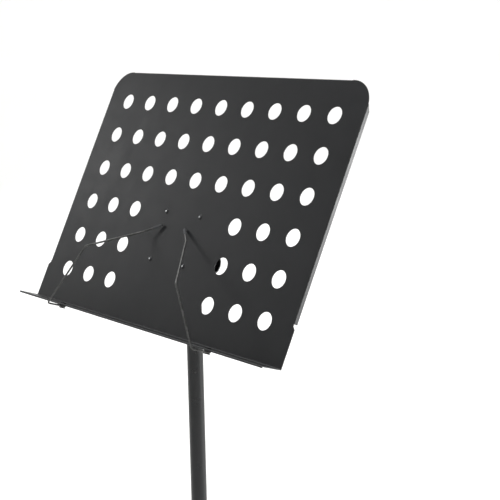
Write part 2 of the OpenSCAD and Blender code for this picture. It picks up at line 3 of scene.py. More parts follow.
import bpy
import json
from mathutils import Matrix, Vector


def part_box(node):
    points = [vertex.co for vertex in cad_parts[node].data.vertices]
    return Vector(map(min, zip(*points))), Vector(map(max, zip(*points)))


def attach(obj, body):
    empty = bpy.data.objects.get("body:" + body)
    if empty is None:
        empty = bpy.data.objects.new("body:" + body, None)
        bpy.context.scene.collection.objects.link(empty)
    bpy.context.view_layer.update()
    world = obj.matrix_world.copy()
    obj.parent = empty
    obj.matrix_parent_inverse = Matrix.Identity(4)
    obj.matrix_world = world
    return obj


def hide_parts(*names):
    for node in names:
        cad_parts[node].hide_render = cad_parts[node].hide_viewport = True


bl_info = {
    "name": "Orchestra Music Stand",
    "version": (1, 0, 0),
    "blender": (4, 5, 0),
    "location": "3D View > Sidebar > Music Stand",
    "description": "Dresses the packed frame of a perforated music stand in finished pieces",
    "category": "Add Mesh",
}

import json
from math import acos, asin, ceil, cos, degrees, pi, radians, sin, tan
from types import SimpleNamespace

import bmesh
import bpy
from bpy.props import FloatProperty, FloatVectorProperty, IntProperty, PointerProperty
from mathutils import Matrix, Vector

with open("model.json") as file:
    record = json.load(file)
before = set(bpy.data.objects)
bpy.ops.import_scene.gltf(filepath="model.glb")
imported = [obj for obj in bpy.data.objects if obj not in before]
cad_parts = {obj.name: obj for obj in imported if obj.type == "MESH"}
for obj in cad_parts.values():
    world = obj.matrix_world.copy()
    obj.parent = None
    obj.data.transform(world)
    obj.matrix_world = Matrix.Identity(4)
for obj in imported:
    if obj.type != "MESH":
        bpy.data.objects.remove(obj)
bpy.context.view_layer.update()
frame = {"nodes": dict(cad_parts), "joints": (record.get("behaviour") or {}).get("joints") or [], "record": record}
JOINTS = {joint["name"]: joint for joint in frame["joints"]}
MM = 0.001
SIDES = {"left": -1, "right": 1}
LEGS = (1, 2, 3)


# ---------- frames: millimetres in a piece's own frame to metres in the row's frame ----------


def joint_pos(name):
    return Vector(JOINTS[name]["pos_m"])


def joint_axis(name):
    return Vector(JOINTS[name]["axis"]).normalized()


def placed(origin, x, y, z):
    """The matrix of a frame with this origin and these three unit axes."""
    matrix = Matrix.Identity(4)
    for column, axis in enumerate((x, y, z)):
        for row in range(3):
            matrix[row][column] = axis[row] * MM
    matrix.translation = origin
    return matrix


def about(origin, axis, up=(0, 0, 1)):
    """A frame whose z runs along an axis, with its x as near as it can be to up."""
    z = Vector(axis).normalized()
    y = z.cross(Vector(up)).normalized()
    return placed(origin, y.cross(z), y, z)


X = Vector((1, 0, 0))
UP = Vector((0, 0, 1))
BACK = joint_axis("thumb_screw_turn")
SLOPE = joint_axis("desk_lift")
SCREW_DEPTH = 27
SCREW_RISE = 127
DESK_ORIGIN = joint_pos("thumb_screw_turn") - (BACK * SCREW_DEPTH + SLOPE * SCREW_RISE) * MM
DESK = placed(DESK_ORIGIN, X, BACK, SLOPE)
TRAY_UP = joint_axis("arm_right_swing")
TRAY = placed(DESK_ORIGIN, X, TRAY_UP.cross(X), TRAY_UP)
PIVOT = about(joint_pos("desk_tilt"), X)
MAST_FOOT = Vector((0, joint_pos("head_swivel").y, 0))
MAST = placed(MAST_FOOT, X, UP.cross(X), UP)


def knob_frame(joint):
    """A clamp knob's frame: z runs out along its screw from the mast's axis."""
    out = joint_axis(joint)
    return about(MAST_FOOT + UP * joint_pos(joint).z, out)


# ---------- settings ----------


def size(label, text, millimetres):
    """A size that a user would change, kept in metres as Blender keeps its lengths."""
    return FloatProperty(
        name=label, description=text, default=millimetres * MM, min=0, precision=5, unit="LENGTH"
    )


def linear(hex_colour):
    """An sRGB hex colour as linear RGB."""
    parts = [int(hex_colour[i : i + 2], 16) / 255 for i in (1, 3, 5)]
    return tuple(p / 12.92 if p <= 0.04045 else ((p + 0.055) / 1.055) ** 2.4 for p in parts)


def tint(label, text, hex_colour):
    """A colour that a user would change."""
    return FloatVectorProperty(
        name=label, description=text, default=linear(hex_colour), subtype="COLOR", size=3, min=0, max=1
    )


class MUSICSTAND_PG_desk(bpy.types.PropertyGroup):
    """Sizes of the punched and folded desk"""

    pitch: size("Hole Pitch", "Distance between the centres of neighbouring holes", 50.0)
    hole: size("Hole Diameter", "Diameter of the punched holes", 21.7)
    columns: IntProperty(name="Columns", description="Holes in a full row", default=9, min=3)
    rows: IntProperty(name="Rows", description="Rows of holes", default=6, min=2)
    full_rows: IntProperty(name="Full Rows", description="Rows without the plain middle", default=3, min=1)
    first_row: size("First Row", "Height of the lowest row above the tray's bend", 46.5)
    half_width: size("Half Width", "Half the width between the side folds", 245.0)
    height: size("Height", "Height of the desk along its slope", 341.0)
    corner: size("Corner Radius", "Radius of the two top corners", 32.5)
    strip_top: size("Strip Top", "Top of the wider strip above the tray", 49.0)
    strip_extra: size("Strip Extra", "How far the strip stands out at each side", 3.5)
    fold: size("Fold Depth", "Depth of the folds behind the sides and the top", 6.0)
    bend: size("Bend Radius", "Outside radius of the folds", 1.3)
    sheet: size("Sheet", "Thickness of the steel sheet", 1.0)
    tray: size("Tray Depth", "Depth of the tray", 29.5)
    lip: size("Lip", "Height of the tray's down-turned lip", 2.2)


class MUSICSTAND_PG_arms(bpy.types.PropertyGroup):
    """Sizes of the page arms"""

    wire: size("Wire", "Diameter of the spring wire", 2.4)
    bend: size("Bend", "Radius of the wire's bends", 4.0)
    pivot_x: size("Pivot", "Distance of a pivot from the middle", 150.0)
    sleeve: size("Sleeve", "Diameter of the rubber sleeve", 3.4)


class MUSICSTAND_PG_head(bpy.types.PropertyGroup):
    """Sizes of the knobs at the head"""

    knob: size("Tilt Knob", "Diameter of the tilt knob", 34.0)
    knob_length: size("Tilt Knob Length", "Length of the tilt knob", 23.0)
    sectors: IntProperty(name="Sectors", description="Plain and ribbed pads round the knob", default=8, min=3)
    thumb: size("Thumb Knob", "Diameter of the thumb screw's knob", 16.0)
    knurls: IntProperty(name="Knurls", description="Ridges round the thumb knob", default=40, min=8)
    thread_pitch: size("Thread Pitch", "Pitch of the thumb screw's thread", 1.0)


class MUSICSTAND_PG_finish(bpy.types.PropertyGroup):
    """Colours of the finishes"""

    powder: tint("Powder Coat", "Desk and brackets", "#17181a")
    enamel: tint("Enamel", "Tubes and legs", "#18191a")
    wire: tint("Wire", "Page arms", "#4b4b4a")
    nylon: tint("Nylon", "Head, collars, hub and runner", "#1e1f20")
    knob: tint("Knobs", "Knobs", "#141516")
    brass: tint("Brass", "Thumb screw and inserts", "#b5924f")
    zinc: tint("Zinc", "Bolts, pins and rivets", "#dcdee0")
    fibre: tint("Fibre", "Friction discs", "#4b4037")
    rubber: tint("Rubber", "Feet and arm tips", "#434446")
    floor: tint("Floor", "Floor and backdrop", "#f4f4f3")


SETTINGS = {
    "musicstand_desk": MUSICSTAND_PG_desk,
    "musicstand_arms": MUSICSTAND_PG_arms,
    "musicstand_head": MUSICSTAND_PG_head,
    "musicstand_finish": MUSICSTAND_PG_finish,
}


def sizes(name):
    """The values of a group of settings, with its lengths in millimetres."""
    group = getattr(bpy.context.scene, name)
    values = {}
    for key in SETTINGS[name].__annotations__:
        value = getattr(group, key)
        is_length = group.bl_rna.properties[key].unit == "LENGTH"
        values[key] = round(value / MM, 3) if is_length else value
    return SimpleNamespace(**values)


# ---------- node trees ----------


def fill(tree, node, inputs):
    """Sets or links a node's inputs; a node stands for its first output, and a list links each item."""
    for key, value in inputs.items():
        for item in value if isinstance(value, list) else [value]:
            source = item.outputs[0] if isinstance(item, bpy.types.Node) else item
            if isinstance(source, bpy.types.NodeSocket):
                tree.links.new(source, node.inputs[key])
            else:
                node.inputs[key].default_value = source
    return node


def add(tree, kind, inputs=None, **settings):
    """Adds a node, sets its options and fills its inputs, by name or number."""
    node = tree.nodes.new(kind)
    for key, value in settings.items():
        setattr(node, key, value)
    return fill(tree, node, inputs or {})


def new_tree(name, **inputs):
    """A geometry tree with a geometry input and named inputs, each given as its socket type."""
    tree = bpy.data.node_groups.new(name, "GeometryNodeTree")
    tree.interface.new_socket("Geometry", in_out="INPUT", socket_type="NodeSocketGeometry")
    tree.interface.new_socket("Geometry", in_out="OUTPUT", socket_type="NodeSocketGeometry")
    for label, kind in inputs.items():
        tree.interface.new_socket(label.replace("_", " "), in_out="INPUT", socket_type="NodeSocket" + kind)
    tree.interface.new_socket("Material", in_out="INPUT", socket_type="NodeSocketMaterial")
    return tree, tree.nodes.new("NodeGroupInput").outputs


def finish_tree(tree, geometry, given):
    """Ends a tree in Realize Instances and Set Material."""
    real = add(tree, "GeometryNodeRealizeInstances", {"Geometry": geometry})
    painted = add(tree, "GeometryNodeSetMaterial", {"Geometry": real, "Material": given["Material"]})
    add(tree, "NodeGroupOutput", {0: painted})
    return tree


def punched_sheet_tree():
    """Fills an outline, less a grid of round holes whose lower rows leave the middle plain."""
    counts = {"Columns": "Int", "Rows": "Int", "Full_Rows": "Int"}
    tree, given = new_tree("Punched Sheet", Pitch="Float", Hole="Float", First_Row="Float", **counts)
    pitch, columns, rows, first = (given[key] for key in ("Pitch", "Columns", "Rows", "First Row"))
    gaps_across = add(tree, "ShaderNodeMath", {0: columns, 1: 1}, operation="SUBTRACT")
    gaps_up = add(tree, "ShaderNodeMath", {0: rows, 1: 1}, operation="SUBTRACT")
    wide = add(tree, "ShaderNodeMath", {0: gaps_across, 1: pitch}, operation="MULTIPLY")
    tall = add(tree, "ShaderNodeMath", {0: gaps_up, 1: pitch}, operation="MULTIPLY")
    spread = {"Size X": wide, "Size Y": tall, "Vertices X": columns, "Vertices Y": rows}
    grid = add(tree, "GeometryNodeMeshGrid", spread)
    half = add(tree, "ShaderNodeMath", {0: tall, 1: 2}, operation="DIVIDE")
    middle = add(tree, "ShaderNodeMath", {0: first, 1: half}, operation="ADD")
    shift = add(tree, "ShaderNodeCombineXYZ", {1: middle})
    raised = add(tree, "GeometryNodeTransform", {"Geometry": grid, "Translation": shift})
    place = add(tree, "ShaderNodeSeparateXYZ", {0: add(tree, "GeometryNodeInputPosition")})
    lower_rows = add(tree, "ShaderNodeMath", {0: rows, 1: given["Full Rows"]}, operation="SUBTRACT")
    last_gap = add(tree, "ShaderNodeMath", {0: lower_rows, 1: 0.5}, operation="SUBTRACT")
    plain = add(tree, "ShaderNodeMath", {0: last_gap, 1: pitch}, operation="MULTIPLY")
    plain_top = add(tree, "ShaderNodeMath", {0: first, 1: plain}, operation="ADD")
    plain_half = add(tree, "ShaderNodeMath", {0: pitch, 1: 1.5}, operation="MULTIPLY")
    off_middle = add(tree, "ShaderNodeMath", {0: place.outputs[0]}, operation="ABSOLUTE")
    near = add(tree, "ShaderNodeMath", {0: off_middle, 1: plain_half}, operation="LESS_THAN")
    low = add(tree, "ShaderNodeMath", {0: place.outputs[1], 1: plain_top}, operation="LESS_THAN")
    both = add(tree, "ShaderNodeMath", {0: near, 1: low}, operation="MULTIPLY")
    kept = add(tree, "GeometryNodeDeleteGeometry", {"Geometry": raised, "Selection": both}, domain="POINT")
    radius = add(tree, "ShaderNodeMath", {0: given["Hole"], 1: 2}, operation="DIVIDE")
    circle = add(tree, "GeometryNodeCurvePrimitiveCircle", {"Resolution": 64, "Radius": radius})
    holes = add(tree, "GeometryNodeInstanceOnPoints", {"Points": kept, "Instance": circle})
    joined = add(tree, "GeometryNodeJoinGeometry", {0: [holes, given["Geometry"]]})
    real = add(tree, "GeometryNodeRealizeInstances", {"Geometry": joined})
    return finish_tree(tree, add(tree, "GeometryNodeFillCurve", {"Curve": real}), given)


def round_row_tree():
    """Repeats its own geometry at equal steps round the z axis."""
    tree, given = new_tree("Round Row", Count="Int")
    points = add(tree, "GeometryNodePoints", {"Count": given["Count"]})
    step = add(tree, "ShaderNodeMath", {0: 2 * pi, 1: given["Count"]}, operation="DIVIDE")
    index = add(tree, "GeometryNodeInputIndex")
    turn = add(tree, "ShaderNodeMath", {0: index, 1: step}, operation="MULTIPLY")
    rotation = add(tree, "FunctionNodeEulerToRotation", {0: add(tree, "ShaderNodeCombineXYZ", {2: turn})})
    spread = {"Points": points, "Instance": given["Geometry"], "Rotation": rotation}
    return finish_tree(tree, add(tree, "GeometryNodeInstanceOnPoints", spread), given)


def scatter_tree():
    """Puts one item on each point of its own geometry."""
    tree, given = new_tree("Fasteners On Points", Item="Object")
    item = add(tree, "GeometryNodeObjectInfo", {"Object": given["Item"]}).outputs["Geometry"]
    row = add(tree, "GeometryNodeInstanceOnPoints", {"Points": given["Geometry"], "Instance": item})
    return finish_tree(tree, row, given)


def bent_wire_tree():
    """Rounds the bends of its own path and gives it the thickness of a wire."""
    tree, given = new_tree("Bent Wire", Wire="Float", Bend="Float")
    rounding = {"Curve": given["Geometry"], "Radius": given["Bend"], "Limit Radius": True, "Count": 6}
    path = add(tree, "GeometryNodeFilletCurve", rounding, mode="POLY")
    radius = add(tree, "ShaderNodeMath", {0: given["Wire"], 1: 2}, operation="DIVIDE")
    section = add(tree, "GeometryNodeCurvePrimitiveCircle", {"Resolution": 16, "Radius": radius})
    sweep = {"Curve": path, "Profile Curve": section, "Fill Caps": True}
    wire = add(tree, "GeometryNodeCurveToMesh", sweep)
    return finish_tree(tree, add(tree, "GeometryNodeSetShadeSmooth", {"Geometry": wire}), given)


def thread_tree():
    """Winds a V-shaped ridge round the rod that is its own geometry."""
    tree, given = new_tree("Screw Thread", Radius="Float", Pitch="Float", Length="Float", Start="Float")
    turns = add(tree, "ShaderNodeMath", {0: given["Length"], 1: given["Pitch"]}, operation="DIVIDE")
    depth = add(tree, "ShaderNodeMath", {0: given["Pitch"], 1: 0.5}, operation="MULTIPLY")
    root = add(tree, "ShaderNodeMath", {0: given["Radius"], 1: depth}, operation="SUBTRACT")
    winding = {"Resolution": 32, "Rotations": turns, "Start Radius": root, "End Radius": root}
    spiral = add(tree, "GeometryNodeCurveSpiral", {**winding, "Height": given["Length"]})
    section = add(tree, "GeometryNodeCurvePrimitiveCircle", {"Resolution": 4, "Radius": depth})
    sweep = {"Curve": spiral, "Profile Curve": section, "Fill Caps": True}
    ridge = add(tree, "GeometryNodeCurveToMesh", sweep)
    shift = add(tree, "ShaderNodeCombineXYZ", {2: given["Start"]})
    moved = add(tree, "GeometryNodeTransform", {"Geometry": ridge, "Translation": shift})
    joined = add(tree, "GeometryNodeJoinGeometry", {0: [moved, given["Geometry"]]})
    return finish_tree(tree, joined, given)


TREE_MAKERS = {
    "punched": punched_sheet_tree,
    "round_row": round_row_tree,
    "scatter": scatter_tree,
    "wire": bent_wire_tree,
    "thread": thread_tree,
}
TREES = {}


def settle(obj):
    """Replaces an object's modifiers by the mesh that they make."""
    graph = bpy.context.evaluated_depsgraph_get()
    mesh = bpy.data.meshes.new_from_object(obj.evaluated_get(graph), depsgraph=graph)
    obj.modifiers.clear()
    result = bpy.data.objects.new("settled", mesh)
    bpy.data.objects.remove(obj)
    bpy.context.scene.collection.objects.link(result)
    return result


def linked(data):
    """A new object in the scene that holds this mesh or curve."""
    obj = bpy.data.objects.new("work", data)
    bpy.context.scene.collection.objects.link(obj)
    return obj


def grown(data, tree_name, **values):
    """Runs a tree on a mesh or a curve and returns a plain object."""
    if tree_name not in TREES:
        TREES[tree_name] = TREE_MAKERS[tree_name]()
    tree = TREES[tree_name]
    obj = linked(data)
    modifier = obj.modifiers.new("grow", "NODES")
    modifier.node_group = tree
    for item in tree.interface.items_tree:
        key = item.name.replace(" ", "_").lower()
        if item.item_type == "SOCKET" and item.in_out == "INPUT" and key in values:
            modifier[item.identifier] = values[key]
    return settle(obj)


# ---------- mesh helpers ----------


def arc(cx, cy, r, start, end, steps=10):
    """Points along an arc, angles in degrees."""
    turns = [radians(start + (end - start) * i / steps) for i in range(steps + 1)]
    return [(cx + r * cos(a), cy + r * sin(a)) for a in turns]


# A corner that turns less than this many radians is left as it is, and a rounding ends short of half a side
NEARLY_STRAIGHT = 0.04
MOST_OF_SIDE = 0.49


def filleted(points, radius, closed=False, steps=5):
    """An outline or a path with its corners rounded; radius is one number or one for each corner."""
    count = len(points)
    radii = radius if isinstance(radius, (list, tuple)) else [radius] * count
    result = []
    for i, point in enumerate(points):
        here = Vector(point)
        r = radii[i]
        if r <= 0 or (not closed and i in (0, count - 1)):
            result.append(here)
            continue
        before = Vector(points[i - 1]) - here
        after = Vector(points[(i + 1) % count]) - here
        half = before.angle(after) / 2
        if pi - 2 * half < NEARLY_STRAIGHT:
            result.append(here)
            continue
        cut = min(r / tan(half), MOST_OF_SIDE * before.length, MOST_OF_SIDE * after.length)
        r = cut * tan(half)
        middle = here + (before.normalized() + after.normalized()).normalized() * (r / sin(half))
        first = here + before.normalized() * cut - middle
        last = here + after.normalized() * cut - middle
        sweep = first.angle(last)
        for k in range(steps + 1):
            t = k / steps
            a = sin((1 - t) * sweep) / sin(sweep)
            b = sin(t * sweep) / sin(sweep)
            result.append(middle + first * a + last * b)
    return result


def loft(bm, rings, closed=False, caps=(True, True)):
    """Joins rings of equal length with quads and caps the ends, or closes the last ring to the first."""
    made = [[bm.verts.new(point) for point in ring] for ring in rings]
    count = len(made[0])
    pairs = list(zip(made, made[1:]))
    if closed:
        pairs.append((made[-1], made[0]))
    for a, b in pairs:
        for i in range(count):
            j = (i + 1) % count
            bm.faces.new((a[i], a[j], b[j], b[i]))
    if not closed and caps[0]:
        bm.faces.new(list(reversed(made[0])))
    if not closed and caps[1]:
        bm.faces.new(made[-1])
    return bm


# A profile that meets its axis stops this far from it, so that its last ring can be closed by a small face
PIN_HOLE = 0.02


def turned(bm, profile, closed=False, segments=64, outline=None, at=(0, 0)):
    """Turns a profile of (radius, height) round z; outline(angle, radius) can reshape each ring."""
    rings = []
    for r, z in profile:
        ring = []
        for i in range(segments):
            a = 2 * pi * i / segments
            reach = max(outline(a, r) if outline else r, PIN_HOLE)
            ring.append((at[0] + reach * cos(a), at[1] + reach * sin(a), z))
        rings.append(ring)
    return loft(bm, rings, closed)


def lathe(profile, closed=False, segments=64, outline=None):
    """A plain mesh turned from a profile."""
    return to_mesh(turned(bmesh.new(), profile, closed, segments, outline))


def prism(bm, outline, z0, z1, edge=0.3, matrix=None):
    """Adds an extruded outline whose rims are rounded by a small edge, placed by a matrix."""
    part = loft(bmesh.new(), [[(x, y, z) for x, y in outline] for z in (z0, z1)])
    rims = [e for e in part.edges if e.verts[0].co.z == e.verts[1].co.z]
    bmesh.ops.bevel(part, geom=rims, offset=edge, segments=3, profile=0.5, affect="EDGES")
    mesh = to_mesh(part, matrix)
    bm.from_mesh(mesh)
    bpy.data.meshes.remove(mesh)


def to_mesh(bm, matrix=None, recalculate=True):
    """A plain mesh from a mesh in the making, placed by a matrix."""
    if recalculate:
        bmesh.ops.recalc_face_normals(bm, faces=bm.faces)
    mesh = bpy.data.meshes.new("mesh")
    bm.to_mesh(mesh)
    bm.free()
    if matrix:
        mesh.transform(matrix)
    return mesh


def curve_of(points, closed=False):
    """A poly curve through these points."""
    curve = bpy.data.curves.new("path", "CURVE")
    curve.dimensions = "3D"
    spline = curve.splines.new("POLY")
    spline.points.add(len(points) - 1)
    for target, point in zip(spline.points, points):
        target.co = (*point, 1)
    spline.use_cyclic_u = closed
    return curve


def smooth(mesh, angle=35):
    """Smooth shading, sharp where faces meet at more than the angle."""
    mesh.shade_smooth()
    mesh.set_sharp_from_angle(angle=radians(angle))


def paint(obj, slot):
    """Gives an object the finish of a slot and no other."""
    obj.data.materials.clear()
    obj.data.materials.append(finish(slot))


def piece(name, source, body, slot, replaces=(), matrix=None, angle=35):
    """A finished piece: a mesh or an object, placed, shaded, painted with its slot, riding on a body."""
    obj = source if isinstance(source, bpy.types.Object) else linked(source)
    if matrix:
        obj.data.transform(matrix)
    smooth(obj.data, angle)
    weigh = obj.modifiers.new("weigh", "WEIGHTED_NORMAL")
    weigh.keep_sharp = True
    obj = settle(obj)
    obj.name = name
    obj.data.name = name
    paint(obj, slot)
    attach(obj, body)
    if replaces:
        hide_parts(*replaces)
    return obj


# Corners of a node's loose triangles that lie this close are one corner, and faces this flat are one face
MERGE_WITHIN = 0.002
FLAT_WITHIN = radians(0.4)


def merged_copy(node):
    """A copy of a CAD node's mesh in millimetres, with its loose triangles joined."""
    bm = bmesh.new()
    bm.from_mesh(frame["nodes"][node].data)
    bmesh.ops.scale(bm, vec=(1 / MM,) * 3, verts=bm.verts)
    bmesh.ops.remove_doubles(bm, verts=bm.verts, dist=MERGE_WITHIN)
    return bm


def in_metres(obj):
    """Takes a finished object from millimetres to metres."""
    obj.data.transform(Matrix.Scale(MM, 4))
    return obj


def moulded(node, voxel, passes):
    """A node's shape with the soft edges and small fillets of a moulding."""
    obj = linked(to_mesh(merged_copy(node), recalculate=False))
    remesh = obj.modifiers.new("remesh", "REMESH")
    remesh.mode = "VOXEL"
    remesh.voxel_size = voxel
    relax = obj.modifiers.new("relax", "SMOOTH")
    relax.iterations = passes
    relax.factor = 0.5
    return in_metres(settle(obj))


def break_edges(obj, width, angle):
    """Rounds the edges that turn by more than the angle, as on cut and painted steel."""
    bevel = obj.modifiers.new("edge", "BEVEL")
    bevel.width = width
    bevel.segments = 2
    bevel.limit_method = "ANGLE"
    bevel.angle_limit = radians(angle)
    return settle(obj)


def softened(node):
    """A node's shape with its sharp edges broken, as on pressed and painted steel."""
    bm = merged_copy(node)
    bmesh.ops.dissolve_limit(bm, angle_limit=FLAT_WITHIN, verts=bm.verts, edges=bm.edges)
    return in_metres(break_edges(linked(to_mesh(bm, recalculate=False)), 0.35, 40))


# ---------- finishes ----------

# Noise gathers round its middle, so what lies between these two values is spread over the whole range
NOISE_LOW = 0.3
NOISE_HIGH = 0.7


def drift(tree, place, feature, detail, low=0, high=1, stretch=(1, 1, 1)):
    """A value that drifts between two numbers over patches this many millimetres wide."""
    mapped = add(tree, "ShaderNodeMapping", {"Vector": place, "Scale": stretch})
    noise = add(tree, "ShaderNodeTexNoise", {"Vector": mapped, "Scale": 1 / (feature * MM), "Detail": detail})
    return add(tree, "ShaderNodeMapRange", {0: noise, 1: NOISE_LOW, 2: NOISE_HIGH, 3: low, 4: high})


def new_finish(name, colour, roughness, tone, gloss=None, relief=(), metallic=0.0, **constants):
    """A material whose colour, roughness and relief each drift over patches of their own size."""
    material = bpy.data.materials.new(name)
    material.use_nodes = True
    tree = material.node_tree
    place = add(tree, "ShaderNodeTexCoord").outputs["Object"]
    base = getattr(bpy.context.scene.musicstand_finish, colour)
    patch, detail, darker, lighter, *stretch = tone
    ends = {"A": (*[c * darker for c in base], 1), "B": (*[min(c * lighter, 1) for c in base], 1)}
    amount = drift(tree, place, patch, detail, 0, 1, *stretch)
    mix = add(tree, "ShaderNodeMix", {"Factor": amount}, data_type="RGBA")
    sockets = {"Base Color": fill(tree, mix, ends).outputs["Result"]}
    if gloss:
        sockets["Roughness"] = drift(tree, place, *gloss)
    for grain, detail, depth, *stretch in relief:
        height = drift(tree, place, grain, detail, 0, 1, *stretch)
        under = {"Normal": sockets["Normal"]} if "Normal" in sockets else {}
        rise = {"Height": height, "Distance": depth * MM, "Strength": 1.0, **under}
        sockets["Normal"] = add(tree, "ShaderNodeBump", rise)
    shader = tree.nodes["Principled BSDF"]
    fill(tree, shader, {"Base Color": (*base, 1), "Roughness": roughness, "Metallic": metallic})
    fill(tree, shader, {key.replace("_", " "): value for key, value in constants.items()})
    fill(tree, shader, sockets)
    return material


ENAMEL = dict(
    name="stove enamelled tube", colour="enamel", roughness=0.3, tone=(30, 4, 0.92, 1.1),
    gloss=(12, 4, 0.27, 0.35), relief=[(0.9, 2, 0.006, (1, 1, 0.02))], IOR=1.42,
)
# tone is (patch, detail, darkest share, lightest share), gloss is (patch, detail, least and most roughness),
# and relief lists its layers from the lowest up, as (grain, detail, depth). Patch, grain and depth are in
# millimetres, and a last item in brackets stretches a pattern.
FINISH_VALUES = {
    # Sheet steel in baked polyester powder: orange peel breaks up the light, and the sheet is slightly wavy
    "powder_coat": dict(
        name="powder coated steel", colour="powder", roughness=0.39, tone=(38, 5, 0.9, 1.1),
        gloss=(24, 3, 0.36, 0.42), relief=[(95, 1, 0.15), (1.6, 2, 0.012)], IOR=1.46,
    ),
    # Drawn tube and pressed channel in satin stove enamel: faint draw lines run along the tube
    "tube_enamel": ENAMEL,
    "leg_enamel": ENAMEL,
    # Hard-drawn spring wire, black oxide: a dull metal gleam along the wire, rubbed in places
    "black_wire": dict(
        name="black oxide spring wire", colour="wire", roughness=0.36, metallic=0.75,
        tone=(7, 4, 0.75, 1.5), gloss=(2.5, 3, 0.3, 0.46), relief=[(0.7, 3, 0.01)],
    ),
    # Injection moulded nylon with glass fibre: matt, slightly grey, with a fine leathery grain
    "moulded_nylon": dict(
        name="glass filled nylon", colour="nylon", roughness=0.55, tone=(4, 5, 0.85, 1.25),
        gloss=(3, 4, 0.46, 0.62), relief=[(0.8, 4, 0.035)], IOR=1.53,
    ),
    # Injection moulded ABS: deep black with a satin spark-eroded texture, shiny where fingers rub it
    "knob_plastic": dict(
        name="moulded ABS", colour="knob", roughness=0.36, tone=(9, 4, 0.9, 1.15), gloss=(6, 3, 0.27, 0.42),
        relief=[(0.55, 3, 0.012)], IOR=1.54,
    ),
    # Free-cutting brass off the lathe: warm and bright, a little dulled by handling
    "brass": dict(
        name="turned brass", colour="brass", roughness=0.27, metallic=1.0, tone=(3, 5, 0.72, 1.08),
        gloss=(1.6, 4, 0.2, 0.36), relief=[(0.5, 2, 0.008)],
    ),
    # Bright zinc plate: cold grey with cloudy passivation that changes its gloss
    "zinc_steel": dict(
        name="zinc plated steel", colour="zinc", roughness=0.3, metallic=1.0, tone=(2.5, 4, 0.8, 1.05),
        gloss=(1.8, 4, 0.22, 0.4), relief=[(0.6, 3, 0.008)],
    ),
    # Machined steel, hot blackened: near black, with an oily gloss on its flats
    "black_nut": dict(
        name="black oxide steel", colour="knob", roughness=0.32, metallic=0.6, tone=(2, 5, 0.8, 1.6),
        gloss=(1.2, 4, 0.26, 0.42), relief=[(0.5, 3, 0.01)],
    ),
    # Pressed friction fibre: dull brown-grey, with short matted strands
    "friction_fibre": dict(
        name="pressed fibre", colour="fibre", roughness=0.85, tone=(0.9, 5, 0.6, 1.5, (1, 1, 0.25)),
        relief=[(0.9, 5, 0.08, (1, 1, 0.25))],
    ),
    # Moulded rubber: matt, with a dusty bloom and a slightly pitted skin
    "rubber": dict(
        name="moulded rubber", colour="rubber", roughness=0.78, tone=(9, 6, 0.88, 1.14),
        gloss=(5, 3, 0.68, 0.88), relief=[(0.9, 4, 0.05)], IOR=1.52,
    ),
    # Seamless backdrop paper: plain and pale, with the faintest mottle
    "paper": dict(
        name="backdrop paper", colour="floor", roughness=0.9, tone=(300, 4, 0.995, 1.005),
        Specular_IOR_Level=0.2,
    ),
}
FINISHES = {}


def finish(slot):
    """The material of a slot, made when it is first asked for."""
    if slot not in FINISHES:
        FINISHES[slot] = new_finish(**FINISH_VALUES[slot])
    return FINISHES[slot]


# ---------- desk ----------


FACE_BEND = 1.6
LIP_BEND = 1.3
FACE_FOOT = 1.5
NOTCH = 2.6
# The side folds run on past the start of the round corners, and their upper ends slant
FOLD_OVER = 4.5
FOLD_TAPER = 8
# Points this close to a line lie on it
NEAR = 0.01


def sheet_outline(desk):
    """The flat part of the desk's face, as x and height, inside the folds and above the tray's bend."""
    w, r, h, strip = desk.half_width, desk.corner, desk.height, desk.strip_top
    wide, inner = w + desk.strip_extra, w - desk.bend
    right = [(wide, FACE_FOOT), (wide, strip - desk.strip_extra), (w, strip), (w, strip + NOTCH)]
    right += [(inner, strip + NOTCH), (inner, h - r + FOLD_OVER)]
    right += arc(w - r, h - r, r, degrees(asin(FOLD_OVER / r)), 90, 14)
    right += [(w - r - NOTCH, h), (w - r - NOTCH, h - desk.bend)]
    return right + [(-x, y) for x, y in reversed(right)]


def carried_on(bm, edges):
    """Extrudes edges in place and returns the new edges and their corners."""
    more = bmesh.ops.extrude_edge_only(bm, edges=edges)["geom"]
    new_edges = [g for g in more if isinstance(g, bmesh.types.BMEdge)]
    return new_edges, [g for g in more if isinstance(g, bmesh.types.BMVert)]


def fold_back(bm, edges, outward, radius, depth, taper=0):
    """Bends a sheet's edge back through a quarter turn and on to a depth; a taper slants its upper end."""
    head = max(v.co.z for e in edges for v in e.verts)
    line = edges[0].verts[0].co.dot(outward)
    quarter = [(x, y + radius) for x, y in arc(0, 0, radius, -90, 0, 4)]
    for out, back in quarter[1:] + [(radius, depth)]:
        edges, corners = carried_on(bm, edges)
        for v in corners:
            v.co += outward * (line + out - v.co.dot(outward))
            v.co.y = back
            if back == depth and abs(v.co.z - head) < NEAR:
                v.co.z -= taper


def follow(bm, edges, path):
    """Extrudes a horizontal edge along a path of (depth, height)."""
    for depth, height in path:
        edges, corners = carried_on(bm, edges)
        for v in corners:
            v.co.y = depth
            v.co.z = height


def edges_at(bm, test):
    """Boundary edges whose two ends pass a test."""
    return [e for e in bm.edges if e.is_boundary and all(test(v.co) for v in e.verts)]


def tray_point(forward, rise):
    """A point of the tray's frame as (depth, height) in the desk's frame."""
    point = DESK.inverted() @ TRAY @ Vector((0, -forward, rise))
    return (point.y, point.z)


